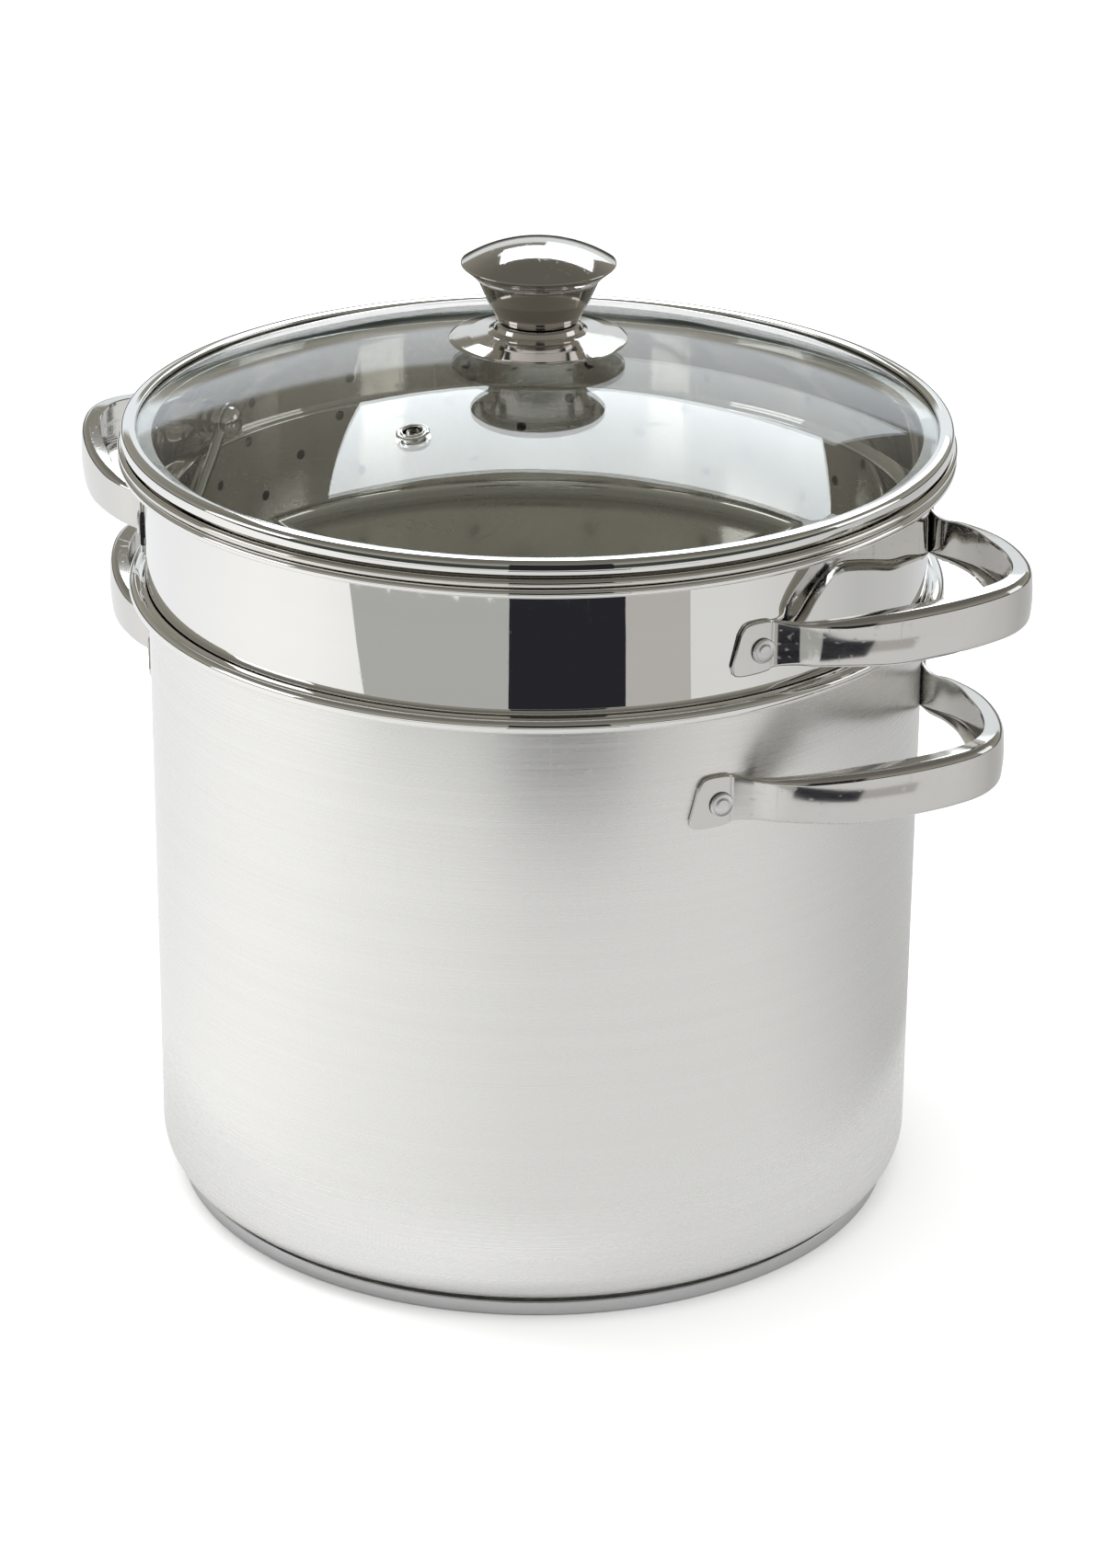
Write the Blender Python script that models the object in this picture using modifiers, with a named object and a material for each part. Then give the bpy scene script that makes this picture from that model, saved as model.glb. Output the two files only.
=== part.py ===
"""Water bath canner: a stock pot, a deep riveted basket seated in its rim, a shallow
steamer basket with a folding bail inside that, and a domed glass lid with a turned knob.

Metres, +Z up. The origin is on the floor, on the pot's axis. The pot's handles lie on +X and -X.
Every coaxial sheet piece is turned with the same number of steps, so their gaps stay even.
"""

import math

import bmesh
import bpy
from mathutils import Euler, Matrix, Vector

# ---- shared fits ----
GAP = 0.0003             # clearance between pieces that touch on the real object
STEPS = 36               # turning steps of the large sheet pieces
SHEET = 0.0008           # steel sheet of the pot and both baskets
FACET = math.cos(math.pi / STEPS)    # middle of a facet over its corner radius

# ---- stock pot ----
POT_RADIUS = 0.1300      # outside of the wall
POT_RIM_TOP = 0.2172
POT_CORNER = 0.0110      # outside radius between wall and bottom
POT_FLARE = 0.0040       # inside radius where the wall turns out into the rim
POT_RIM_FLAT = 0.0009
POT_CURL = 0.0024        # outside radius of the rolled edge

# ---- sandwich base ----
BASE_RADIUS = POT_RADIUS - 0.0060
BASE_SHEET = 0.0006
BASE_CORE = 0.0043       # thickness of the aluminium disc
BASE_EDGE_ROUND = 0.0012

# ---- deep canning basket ----
BASKET_RADIUS = POT_RADIUS + 0.0006      # outside of the band that stands above the pot
BASKET_BODY_RADIUS = POT_RADIUS - SHEET - 0.0024
BASKET_RIM_TOP = POT_RIM_TOP + 0.0441
BASKET_FLOOR_LIFT = 0.0197   # clear height under its floor
BASKET_CORNER = 0.0120
BASKET_SHOULDER = 0.0015     # outside radius where the band turns in
BASKET_HOLE_RADIUS = 0.0025
BASKET_HOLE_COUNT = 12
BASKET_HOLE_PITCH = 0.040
BASKET_HOLE_ROWS = 3
BASKET_FIRST_ROW = 0.030     # first row above the basket's floor

# ---- steamer basket ----
STEAMER_RADIUS = BASKET_RADIUS - SHEET - 0.0022
STEAMER_BODY_RADIUS = STEAMER_RADIUS - 0.0036
STEAMER_RIM_HEIGHT = 0.0029
STEAMER_STEP_DROP = 0.0253   # from its rim to the step in the wall
STEAMER_DEPTH = 0.0660
STEAMER_CORNER = 0.0065
STEAMER_HOLE_RADIUS = 0.0018
STEAMER_HOLE_COUNT = 18
STEAMER_ROW_DROPS = (0.0173, 0.0291, 0.0402, 0.0512)
STEAMER_ROW_TURNS = (36.6, 39.6, 47.6, 35.6)

# ---- rims shared by both baskets ----
BASKET_RIM_RADIUS = BASKET_RADIUS + 0.0082
RIM_FLARE = 0.0025

# ---- strap handles ----
HANDLE_SHEET = 0.0012
HANDLE_REACH = POT_RADIUS + 0.0465       # from the pot's axis to the outside of the grip
HANDLE_RIVET_TURN = 28.7     # degrees from the handle's middle to a rivet
TAB_BEYOND = 0.0094      # tab length past the rivet
TAB_BEFORE = 0.0050      # tab length before the rivet, up to the waist
TAB_HALF = 0.0088
TAB_RISE = 0.0011        # middle of the tab above the rivet
TAB_SLANT = 0.26         # the tab's lower corner reaches further than its upper one
STRAP_ROOT_TURN = 25.4
STRAP_PINCH = 0.33       # how far the grip narrows towards its middle
STRAP_HALF = 0.0089
STRAP_DROP = 0.0016      # middle of the strap below the rivet at its root
STRAP_TILT = 0.12
STRAP_FLANGE = 0.0065    # depth of the folded edges
STRAP_BEND = 0.0026      # rounding between the grip's face and its folded edges
WAIST_HALF = 0.0072
POT_RIVET_HEIGHT = POT_RIM_TOP - 0.0355
BASKET_RIVET_HEIGHT = BASKET_RIM_TOP - 0.0299
BASKET_TURN = 5.9        # the basket stands turned by this much in the pot

# ---- rivets ----
RIVET_HEAD = 0.00365
RIVET_HEAD_HEIGHT = 0.0013
RIVET_SHANK = 0.0022
RIVET_BORE = 0.0026
RIVET_BACK = 0.0045
RIVET_BACK_HEIGHT = 0.0012

# ---- bail of the steamer basket ----
BAIL_WIRE = 0.0020
BAIL_LENGTH = STEAMER_BODY_RADIUS - 0.0110   # from the pivot line to the middle of the grip
BAIL_DROP = 0.0180       # pivot below the steamer's rim
BAIL_EYE = 0.0068
BAIL_EYE_THICKNESS = 0.0024
BAIL_WALL_CLEARANCE = 0.0024
BAIL_BEND = 7.0          # degrees over which the wire leaves its eye
PIVOT_WASHER = 0.0050
PIVOT_WASHER_THICKNESS = 0.0020
PIVOT_HEAD = 0.0057
PIVOT_HEAD_HEIGHT = 0.0038
PIVOT_TAIL = 0.0042
PIVOT_TAIL_HEIGHT = 0.0010

# ---- glass lid ----
GLASS_RADIUS = STEAMER_RADIUS + 0.0044
GLASS_THICKNESS = 0.0031
GLASS_RISE = 0.0248
GLASS_BORE = 0.0036
BAND_SHEET = 0.0006
BAND_RADIUS = GLASS_RADIUS + 0.0056
BAND_LIP_RADIUS = GLASS_RADIUS - 0.0036
BAND_SKIRT = 0.0036      # reach of the locating skirt into the steamer basket
BAND_LIFT = 0.0023       # underside of the outer edge above the seat
BAND_OUTER_HEIGHT = 0.0018
VENT_RADIUS = GLASS_RADIUS - 0.0563      # from the lid's axis
VENT_TURN = -86.5
VENT_BORE = 0.0030
VENT_TUBE = 0.0037
VENT_FLANGE = 0.0054
VENT_FLANGE_HEIGHT = 0.0012

# ---- knob ----
SEAL_RADIUS = 0.0090
SEAL_THICKNESS = 0.0008
FLANGE_RADIUS = 0.0298
FLANGE_LIFT = 0.0015     # underside of the flange's rim above its foot
FLANGE_EDGE = 0.0018
FLANGE_HUB_RADIUS = 0.0140
FLANGE_HUB_FOOT = 0.0185
FLANGE_HUB_HEIGHT = 0.0046
FLANGE_FOOT = 0.0110
KNOB_NECK_RADIUS = 0.0130
KNOB_TOP_RADIUS = 0.0214
KNOB_BODY_HEIGHT = 0.0149
CAP_RADIUS = 0.0254
CAP_LIP = 0.0036
CAP_DOME = 0.0102
SCREW_RADIUS = 0.0024
SCREW_BORE = 0.0028
SCREW_HEAD = 0.0052
SCREW_HEAD_HEIGHT = 0.0026
SCREW_GRIP = 0.0070      # thread length inside the knob
WASHER_RADIUS = 0.0085
WASHER_THICKNESS = 0.0010

# ---- heights that follow from the sizes above ----
POT_BOTTOM = BASE_SHEET + GAP + BASE_CORE + GAP
POT_FLOOR = POT_BOTTOM + SHEET
POT_STRAIGHT_TOP = POT_RIM_TOP - POT_FLARE
FLARE_CENTRE = POT_RADIUS - SHEET + POT_FLARE
STEAMER_RIM_TOP = BASKET_RIM_TOP + GAP + STEAMER_RIM_HEIGHT
LID_SEAT = STEAMER_RIM_TOP + GAP
GLASS_SPHERE = (GLASS_RADIUS ** 2 + GLASS_RISE ** 2) / (2 * GLASS_RISE)
GLASS_EDGE_TOP = LID_SEAT + BAND_SHEET + GAP + GLASS_THICKNESS
GLASS_TOP = GLASS_EDGE_TOP + GLASS_RISE
BAIL_PIVOT_HEIGHT = STEAMER_RIM_TOP - BAIL_DROP
STEAMER_FLOOR = STEAMER_RIM_TOP - STEAMER_DEPTH + SHEET


def clear_scene():
    for item in list(bpy.data.objects):
        bpy.data.objects.remove(item, do_unlink=True)


def collection(name):
    group = bpy.data.collections.new(name)
    bpy.context.scene.collection.children.link(group)
    return group


def material(name, colour, roughness, metallic=1.0, alpha=1.0):
    made = bpy.data.materials.new(name)
    made.use_nodes = True
    shader = made.node_tree.nodes["Principled BSDF"]
    shader.inputs["Base Color"].default_value = (*colour, 1.0)
    shader.inputs["Roughness"].default_value = roughness
    shader.inputs["Metallic"].default_value = metallic
    shader.inputs["Alpha"].default_value = alpha
    made.diffuse_color = (*colour, alpha)
    return made


clear_scene()
PARTS = collection("water_bath_canner")
CUTTERS = collection("cutters")
SATIN = material("satin_steel", (0.70, 0.70, 0.69), 0.32)
POLISHED = material("polished_steel", (0.76, 0.75, 0.73), 0.08)
BRUSHED_BASE = material("base_steel", (0.52, 0.52, 0.51), 0.40)
ALUMINIUM = material("aluminium", (0.74, 0.75, 0.76), 0.38)
GLASS = material("glass", (0.86, 0.93, 0.91), 0.02, 0.0, 0.35)
SILICONE = material("silicone", (0.12, 0.12, 0.12), 0.55, 0.0)


def link(obj, group, finish=None):
    group.objects.link(obj)
    if finish:
        obj.data.materials.append(finish)
    return obj


def shade_round(obj, angle=35.0):
    obj.data.shade_smooth()
    obj.data.set_sharp_from_angle(angle=math.radians(angle))


def arc(centre_r, centre_z, radius, start, end, pieces):
    """Points of an arc in the turning plane, both ends included, angles in degrees."""
    points = []
    for i in range(pieces + 1):
        angle = math.radians(start + (end - start) * i / pieces)
        points.append((centre_r + radius * math.cos(angle), centre_z + radius * math.sin(angle)))
    return points


def turned(name, profile, finish, steps=STEPS, closed=False):
    """A profile of (radius, height) points, run down its outer side, turned about Z."""
    mesh = bpy.data.meshes.new(name)
    count = len(profile)
    edges = [(i, i + 1) for i in range(count - 1)]
    if closed:
        edges.append((count - 1, 0))
    mesh.from_pydata([(r, 0.0, z) for r, z in profile], edges, [])
    obj = link(bpy.data.objects.new(name, mesh), PARTS, finish)
    turn = obj.modifiers.new("turn", "SCREW")
    turn.axis = "Z"
    turn.angle = math.radians(360.0)
    turn.steps = steps
    turn.render_steps = steps
    turn.use_merge_vertices = True
    turn.merge_threshold = 0.00001
    turn.use_smooth_shade = True
    return obj


def outward(angle):
    """Unit vector in the floor plane at this many degrees from +X."""
    turn = math.radians(angle)
    return Vector((math.cos(turn), math.sin(turn), 0.0))


def along(direction):
    """Rotation that takes +Z to the direction."""
    return direction.normalized().to_track_quat("Z", "Y").to_matrix().to_4x4()


def cylinders(name, places, radius, length, sides):
    """One cutter made of separate cylinders, each centred on its place."""
    mesh = bpy.data.meshes.new(name)
    shape = bmesh.new()
    for centre, direction in places:
        bmesh.ops.create_cone(
            shape, cap_ends=True, segments=sides, radius1=radius, radius2=radius,
            depth=length, matrix=Matrix.Translation(centre) @ along(direction))
    shape.to_mesh(mesh)
    shape.free()
    obj = link(bpy.data.objects.new(name, mesh), CUTTERS)
    obj.hide_render = True
    obj.display_type = "WIRE"
    return obj


def cut(obj, cutter):
    boolean = obj.modifiers.new(cutter.name, "BOOLEAN")
    boolean.operation = "DIFFERENCE"
    boolean.solver = "EXACT"
    boolean.object = cutter


# ---------------------------------------------------------------- stock pot

def rolled_rim(inner, flat_end, top, flare, curl, sheet):
    """Rim section from the inside wall, over the flare and the curl, to the outside wall."""
    centre = inner + flare
    points = arc(centre, top - flare, flare, 180, 90, 2)
    points += arc(flat_end, top - curl, curl, 90, -90, 3)
    points += arc(flat_end, top - curl, curl - sheet, -90, 90, 2)
    points += arc(centre, top - flare, flare - sheet, 90, 180, 1)
    return points


def make_pot():
    inner = POT_RADIUS - SHEET
    corner_r = POT_RADIUS - POT_CORNER
    corner_z = POT_BOTTOM + POT_CORNER
    profile = [(0.0, POT_FLOOR)]
    profile += arc(corner_r, corner_z, POT_CORNER - SHEET, -90, 0, 3)
    profile += rolled_rim(inner, FLARE_CENTRE + POT_RIM_FLAT, POT_RIM_TOP, POT_FLARE, POT_CURL, SHEET)
    profile += arc(corner_r, corner_z, POT_CORNER, 0, -90, 4)
    profile += [(0.0, POT_BOTTOM)]
    pot = turned("stock_pot", profile, SATIN)
    cut(pot, rivet_holes("pot_wall_rivet_holes", POT_RADIUS, POT_RIVET_HEIGHT, 0.0))
    return pot


def make_base():
    top = POT_BOTTOM - GAP
    round_r = BASE_RADIUS - BASE_EDGE_ROUND
    cap = [(0.0, BASE_SHEET), (BASE_RADIUS - BASE_SHEET, BASE_SHEET)]
    cap += [(BASE_RADIUS - BASE_SHEET, top), (BASE_RADIUS, top)]
    cap += arc(round_r, BASE_EDGE_ROUND, BASE_EDGE_ROUND, 0, -90, 2)
    cap += [(0.0, 0.0)]
    turned("base_cap", cap, BRUSHED_BASE)
    core_r = BASE_RADIUS - BASE_SHEET - GAP
    low = BASE_SHEET + GAP
    core = [(0.0, low + BASE_CORE), (core_r, low + BASE_CORE), (core_r, low), (0.0, low)]
    turned("base_core", core, ALUMINIUM)


# ---------------------------------------------------------------- strap handles and rivets

def rivet_places(turn):
    """The four rivet directions, in degrees, of a pair of handles whose middle is at the turn."""
    return [turn + side + sign * HANDLE_RIVET_TURN for side in (0.0, 180.0) for sign in (-1, 1)]


def rivet_holes(name, wall_radius, height, turn):
    places = []
    for angle in rivet_places(turn):
        direction = outward(angle)
        places.append((direction * wall_radius + Vector((0, 0, height)), direction))
    return cylinders(name, places, RIVET_BORE, 0.012, 10)


def strap_stations(wall_radius):
    """Stations of half a handle from the tab's end to the middle of the grip.

    Each is (point on the outer face, half height, middle above the rivet, flange depth, lip, slant).
    """
    face = wall_radius + GAP + HANDLE_SHEET
    plain = HANDLE_SHEET + 0.00015
    end = HANDLE_RIVET_TURN + math.degrees(TAB_BEYOND / face)
    waist = HANDLE_RIVET_TURN - math.degrees(TAB_BEFORE / face)
    stations = []
    for share, half in ((0.0, 0.6), (0.12, 0.9), (0.30, 1.0), (0.80, 0.98), (1.0, 0.88)):
        angle = math.radians(end + (waist - end) * share)
        point = Vector((face * math.cos(angle), face * math.sin(angle)))
        stations.append((point, TAB_HALF * half, TAB_RISE, plain, 0.0006, TAB_SLANT * (1.0 - share)))
    root = math.radians(STRAP_ROOT_TURN)
    root_u = wall_radius * math.cos(root)
    root_w = wall_radius * math.sin(root)
    reach = HANDLE_REACH - root_u
    for degree in (6, 14, 24, 36, 49, 62, 74, 83, 90):
        t = math.radians(degree)
        u = root_u + reach * math.sin(t)
        w = root_w * math.cos(t) * (1.0 - STRAP_PINCH * math.sin(t) ** 2)
        if degree == 90:
            w = 0.0
        grown = min(1.0, (degree - 6) / 30.0)
        half = WAIST_HALF + (STRAP_HALF - WAIST_HALF) * grown
        flange = plain + 0.0008 + (STRAP_FLANGE - plain - 0.0008) * grown
        middle = -STRAP_DROP * grown + STRAP_TILT * (u - root_u)
        stations.append((Vector((u, w)), half, middle, flange, HANDLE_SHEET, 0.0))
    return stations


def strap_section(point, normal, half, middle, flange, lip, slant):
    """Closed C section: outer face and rounded edges, then the inner face, as ten points."""
    edge = min(STRAP_BEND, 0.6 * flange)
    inner = HANDLE_SHEET
    flat = [(flange, half), (edge, half), (0.0, half - edge), (0.0, edge - half), (edge, -half)]
    flat += [(flange, -half), (flange, lip - half), (inner, lip - half)]
    flat += [(inner, half - lip), (flange, half - lip)]
    ring = []
    for depth, height in flat:
        place = point + normal * depth + Vector((normal.y, -normal.x)) * (slant * height)
        ring.append((place.x, place.y, middle + height))
    return ring


def strap_mesh(name, wall_radius):
    """Half of a handle as a loft from its flat tab to its C section, open at the mirror plane."""
    stations = strap_stations(wall_radius)
    rings = []
    for i, (point, half, middle, flange, lip, slant) in enumerate(stations):
        before = stations[max(i - 1, 0)][0]
        after = stations[min(i + 1, len(stations) - 1)][0]
        step = (after - before).normalized()
        normal = Vector((step.y, -step.x))
        if i == len(stations) - 1:
            normal = Vector((-1.0, 0.0))
        rings.append(strap_section(point, normal, half, middle, flange, lip, slant))
    shape = bmesh.new()
    rows = [[shape.verts.new(corner) for corner in ring] for ring in rings]
    count = len(rows[0])
    for a, b in zip(rows, rows[1:]):
        for i in range(count):
            j = (i + 1) % count
            shape.faces.new((a[i], a[j], b[j], b[i]))
    # the tab's end is closed by quads across the section, in the order the ring runs
    end = rows[0]
    for quad in ((9, 0, 1, 8), (1, 2, 8), (8, 2, 3, 7), (7, 3, 4), (7, 4, 5, 6)):
        shape.faces.new([end[i] for i in quad])
    bmesh.ops.recalc_face_normals(shape, faces=shape.faces)
    mesh = bpy.data.meshes.new(name)
    shape.to_mesh(mesh)
    shape.free()
    return mesh


def make_handle(name, mesh, finish, turn, height, holes):
    obj = link(bpy.data.objects.new(name, mesh.copy()), PARTS, finish)
    obj.location = (0.0, 0.0, height)
    obj.rotation_euler = (0.0, 0.0, math.radians(turn))
    mirror = obj.modifiers.new("mirror", "MIRROR")
    mirror.use_axis = (False, True, False)
    mirror.merge_threshold = 0.00001
    cut(obj, holes)
    shade_round(obj)
    return obj


def make_rivet(name, face, back, angle, height, finish):
    """Flat head outside the tab at radius face, shank, and domed head inside at radius back."""
    head = RIVET_HEAD_HEIGHT
    profile = [(0.0, head), (RIVET_HEAD * 0.82, head), (RIVET_HEAD, head * 0.55), (RIVET_HEAD, 0.0)]
    profile += [(RIVET_SHANK, 0.0), (RIVET_SHANK, back - face)]
    profile += [(RIVET_BACK, back - face), (RIVET_BACK * 0.80, back - face - RIVET_BACK_HEIGHT * 0.7)]
    profile += [(RIVET_BACK * 0.40, back - face - RIVET_BACK_HEIGHT)]
    profile += [(0.0, back - face - RIVET_BACK_HEIGHT)]
    obj = turned(name, profile, finish, steps=10)
    direction = outward(angle)
    obj.matrix_world = Matrix.Translation(direction * face + Vector((0, 0, height))) @ along(direction)
    return obj


def make_handles_and_rivets():
    corners = ("right_front", "right_rear", "left_rear", "left_front")
    sets = (("pot", POT_RADIUS, POT_RIVET_HEIGHT, 0.0), ("basket", BASKET_RADIUS, BASKET_RIVET_HEIGHT, BASKET_TURN))
    for owner, wall, height, turn in sets:
        mesh = strap_mesh(owner + "_strap", wall)
        holes = rivet_holes(owner + "_tab_rivet_holes", wall, height, turn)
        make_handle(owner + "_handle_right", mesh, POLISHED, turn, height, holes)
        make_handle(owner + "_handle_left", mesh, POLISHED, turn + 180.0, height, holes)
        bpy.data.meshes.remove(mesh)
        face = wall + 2 * GAP + HANDLE_SHEET
        back = (wall - SHEET) * FACET - GAP
        for corner, angle in zip(corners, rivet_places(turn)):
            make_rivet(owner + "_rivet_" + corner, face, back, angle, height, ALUMINIUM)


# ---------------------------------------------------------------- baskets

def wall_holes(radius, height, count, turn):
    """Hole places of one row, all pointing outwards."""
    places = []
    for i in range(count):
        direction = outward(turn + 360.0 * i / count)
        places.append((direction * radius + Vector((0, 0, height)), direction))
    return places


def floor_holes(radii, counts, height, turn):
    """Hole places in rings about the axis, all pointing up."""
    places = []
    for radius, count in zip(radii, counts):
        for i in range(count):
            place = outward(turn + 360.0 * (i + 0.5) / count) * radius
            places.append((place + Vector((0, 0, height)), Vector((0, 0, 1))))
    return places


def basket_profile(band, body, rim_top, rim_curl, step_top, shoulder, corner, bottom):
    """Section of a stepped basket: floor, body wall, step, band, flat rim with a rolled edge."""
    hollow = shoulder * 0.7
    ledge = step_top - shoulder
    profile = [(0.0, bottom + SHEET)]
    profile += arc(body - corner, bottom + corner, corner - SHEET, -90, 0, 2)
    profile += arc(body + hollow, ledge - hollow, hollow + SHEET, 180, 90, 1)
    profile += arc(band - shoulder, step_top, shoulder - SHEET, -90, 0, 1)
    profile += rolled_rim(band - SHEET, BASKET_RIM_RADIUS - rim_curl, rim_top, RIM_FLARE, rim_curl, SHEET)
    profile += arc(band - shoulder, step_top, shoulder, 0, -90, 1)
    profile += arc(body + hollow, ledge - hollow, hollow, 90, 180, 1)
    profile += arc(body - corner, bottom + corner, corner, 0, -90, 2)
    profile += [(0.0, bottom)]
    return profile


def basket_step_top():
    """Height of the shoulder's centre where it clears the pot's flare by the gap."""
    reach = POT_FLARE + BASKET_SHOULDER + GAP
    across = FLARE_CENTRE - (BASKET_RADIUS - BASKET_SHOULDER)
    return POT_STRAIGHT_TOP + math.sqrt(reach ** 2 - across ** 2)


def make_canning_basket():
    bottom = POT_FLOOR + BASKET_FLOOR_LIFT
    profile = basket_profile(
        BASKET_RADIUS, BASKET_BODY_RADIUS, BASKET_RIM_TOP, 0.0016, basket_step_top(),
        BASKET_SHOULDER, BASKET_CORNER, bottom)
    basket = turned("canning_basket", profile, POLISHED)
    places = []
    for row in range(BASKET_HOLE_ROWS):
        height = bottom + BASKET_FIRST_ROW + BASKET_HOLE_PITCH * row
        turn = BASKET_TURN + 180.0 / BASKET_HOLE_COUNT * (row % 2)
        places += wall_holes(BASKET_BODY_RADIUS, height, BASKET_HOLE_COUNT, turn)
    places += floor_holes((0.0, 0.035, 0.070), (1, 4, 8), bottom, BASKET_TURN)
    cut(basket, cylinders("canning_basket_holes", places, BASKET_HOLE_RADIUS, 0.010, 6))
    cut(basket, rivet_holes("basket_wall_rivet_holes", BASKET_RADIUS, BASKET_RIVET_HEIGHT, BASKET_TURN))


def bail_turns():
    return [BASKET_TURN, BASKET_TURN + 180.0]


def make_steamer_basket():
    bottom = STEAMER_RIM_TOP - STEAMER_DEPTH
    profile = basket_profile(
        STEAMER_RADIUS, STEAMER_BODY_RADIUS, STEAMER_RIM_TOP, STEAMER_RIM_HEIGHT / 2,
        STEAMER_RIM_TOP - STEAMER_STEP_DROP, 0.0010, STEAMER_CORNER, bottom)
    basket = turned("steamer_basket", profile, POLISHED)
    places = []
    for drop, turn in zip(STEAMER_ROW_DROPS, STEAMER_ROW_TURNS):
        wall = STEAMER_RADIUS if drop < STEAMER_STEP_DROP else STEAMER_BODY_RADIUS
        places += wall_holes(wall, STEAMER_RIM_TOP - drop, STEAMER_HOLE_COUNT, turn)
    places += floor_holes((0.0, 0.024, 0.048), (1, 6, 9), bottom, 0.0)
    cut(basket, cylinders("steamer_basket_holes", places, STEAMER_HOLE_RADIUS, 0.006, 6))
    pivots = []
    for angle in bail_turns():
        direction = outward(angle)
        pivots.append((direction * STEAMER_RADIUS + Vector((0, 0, BAIL_PIVOT_HEIGHT)), direction))
    cut(basket, cylinders("bail_pivot_holes", pivots, RIVET_BORE, 0.006, 12))


# ---------------------------------------------------------------- bail

def pivot_stack():
    """Radii from the wall inwards: washer's outer face, eye's outer face, dome's base."""
    washer = (STEAMER_RADIUS - SHEET) * FACET - GAP
    eye = washer - PIVOT_WASHER_THICKNESS - GAP
    dome = eye - BAIL_EYE_THICKNESS - GAP
    return washer, eye, dome


def bail_fold():
    """Angle of the folded bail below level, where its grip lies on the steamer's floor."""
    drop = BAIL_PIVOT_HEIGHT - STEAMER_FLOOR - BAIL_WIRE - GAP
    return math.asin(drop / BAIL_LENGTH)


def bail_wire(name, eye_middle):
    """The wire as a poly spline in its own plane: X along the pivot line, -Y towards the grip."""
    body = STEAMER_BODY_RADIUS - SHEET - BAIL_WALL_CLEARANCE - BAIL_WIRE
    curve = bpy.data.curves.new(name, "CURVE")
    curve.dimensions = "3D"
    curve.bevel_depth = BAIL_WIRE
    curve.bevel_resolution = 2
    curve.use_fill_caps = True
    count = 32
    spline = curve.splines.new("POLY")
    spline.points.add(count)
    start = math.degrees(math.asin((PIVOT_HEAD + GAP) / BAIL_LENGTH))
    for i in range(count + 1):
        turn = start + (180.0 - 2 * start) * i / count
        near = min(turn, 180.0 - turn)
        half = body + (eye_middle - body) * math.exp(-((near / BAIL_BEND) ** 2))
        x = half * math.cos(math.radians(turn))
        y = -BAIL_LENGTH * math.sin(math.radians(turn))
        spline.points[i].co = (x, y, 0.0, 1.0)
    wire = bpy.data.objects.new(name, curve)
    CUTTERS.objects.link(wire)
    return wire


def as_mesh(obj, name):
    """A curve's evaluated shape as a welded mesh object; the curve is removed."""
    bpy.context.view_layer.update()
    evaluated = obj.evaluated_get(bpy.context.evaluated_depsgraph_get())
    mesh = bpy.data.meshes.new_from_object(evaluated)
    shape = bmesh.new()
    shape.from_mesh(mesh)
    bmesh.ops.remove_doubles(shape, verts=shape.verts, dist=0.00001)
    shape.to_mesh(mesh)
    shape.free()
    made = bpy.data.objects.new(name, mesh)
    made.matrix_world = obj.matrix_world.copy()
    bpy.data.objects.remove(obj, do_unlink=True)
    return made


def make_bail():
    washer, eye, dome = pivot_stack()
    middle = eye - BAIL_EYE_THICKNESS / 2
    hinge = bpy.data.objects.new("bail_hinge_line", None)
    PARTS.objects.link(hinge)
    hinge.location = (0.0, 0.0, BAIL_PIVOT_HEIGHT)
    hinge.rotation_mode = "QUATERNION"
    level = Euler((0.0, 0.0, math.radians(BASKET_TURN))).to_quaternion()
    fold = Euler((bail_fold(), 0.0, 0.0)).to_quaternion()
    hinge.rotation_quaternion = level @ fold
    bail = link(as_mesh(bail_wire("bail_wire", middle), "steamer_bail"), PARTS, POLISHED)
    bail.parent = hinge
    ends = []
    for sign in (1.0, -1.0):
        ends.append((Vector((sign * middle, 0.0, 0.0)), Vector((1, 0, 0))))
    eyes = cylinders("bail_eyes", ends, BAIL_EYE, BAIL_EYE_THICKNESS, 16)
    eyes.parent = hinge
    bores = cylinders("bail_eye_bores", ends, RIVET_BORE, 0.012, 12)
    bores.parent = hinge
    join = bail.modifiers.new("eyes", "BOOLEAN")
    join.operation = "UNION"
    join.solver = "EXACT"
    join.object = eyes
    cut(bail, bores)
    shade_round(bail)


def make_pivot(side, angle):
    """Washer, and the rivet with its dome inside the basket and its tail outside the wall."""
    washer, eye, dome = pivot_stack()
    direction = outward(angle)
    height = Vector((0, 0, BAIL_PIVOT_HEIGHT))
    ring = [(PIVOT_WASHER, PIVOT_WASHER_THICKNESS), (PIVOT_WASHER, 0.0), (RIVET_BORE, 0.0)]
    ring += [(RIVET_BORE, PIVOT_WASHER_THICKNESS)]
    obj = turned("bail_washer_" + side, ring, POLISHED, steps=16, closed=True)
    obj.matrix_world = Matrix.Translation(direction * washer + height) @ along(-direction)
    tail = dome - STEAMER_RADIUS - GAP
    profile = [(0.0, PIVOT_HEAD_HEIGHT)]
    for degree in (22, 45, 68):
        t = math.radians(degree)
        profile.append((PIVOT_HEAD * math.sin(t), PIVOT_HEAD_HEIGHT * math.cos(t)))
    profile += [(PIVOT_HEAD, 0.0), (RIVET_SHANK, 0.0), (RIVET_SHANK, tail), (PIVOT_TAIL, tail)]
    profile += [(PIVOT_TAIL * 0.7, tail - PIVOT_TAIL_HEIGHT), (0.0, tail - PIVOT_TAIL_HEIGHT)]
    obj = turned("bail_rivet_" + side, profile, POLISHED, steps=12)
    obj.matrix_world = Matrix.Translation(direction * dome + height) @ along(-direction)


# ---------------------------------------------------------------- lid

def glass_height(radius, drop=0.0):
    """Height of the dome at a radius; drop is the depth below its outer face."""
    sphere = GLASS_SPHERE - drop
    return GLASS_TOP - GLASS_SPHERE + math.sqrt(sphere ** 2 - radius ** 2)


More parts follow.
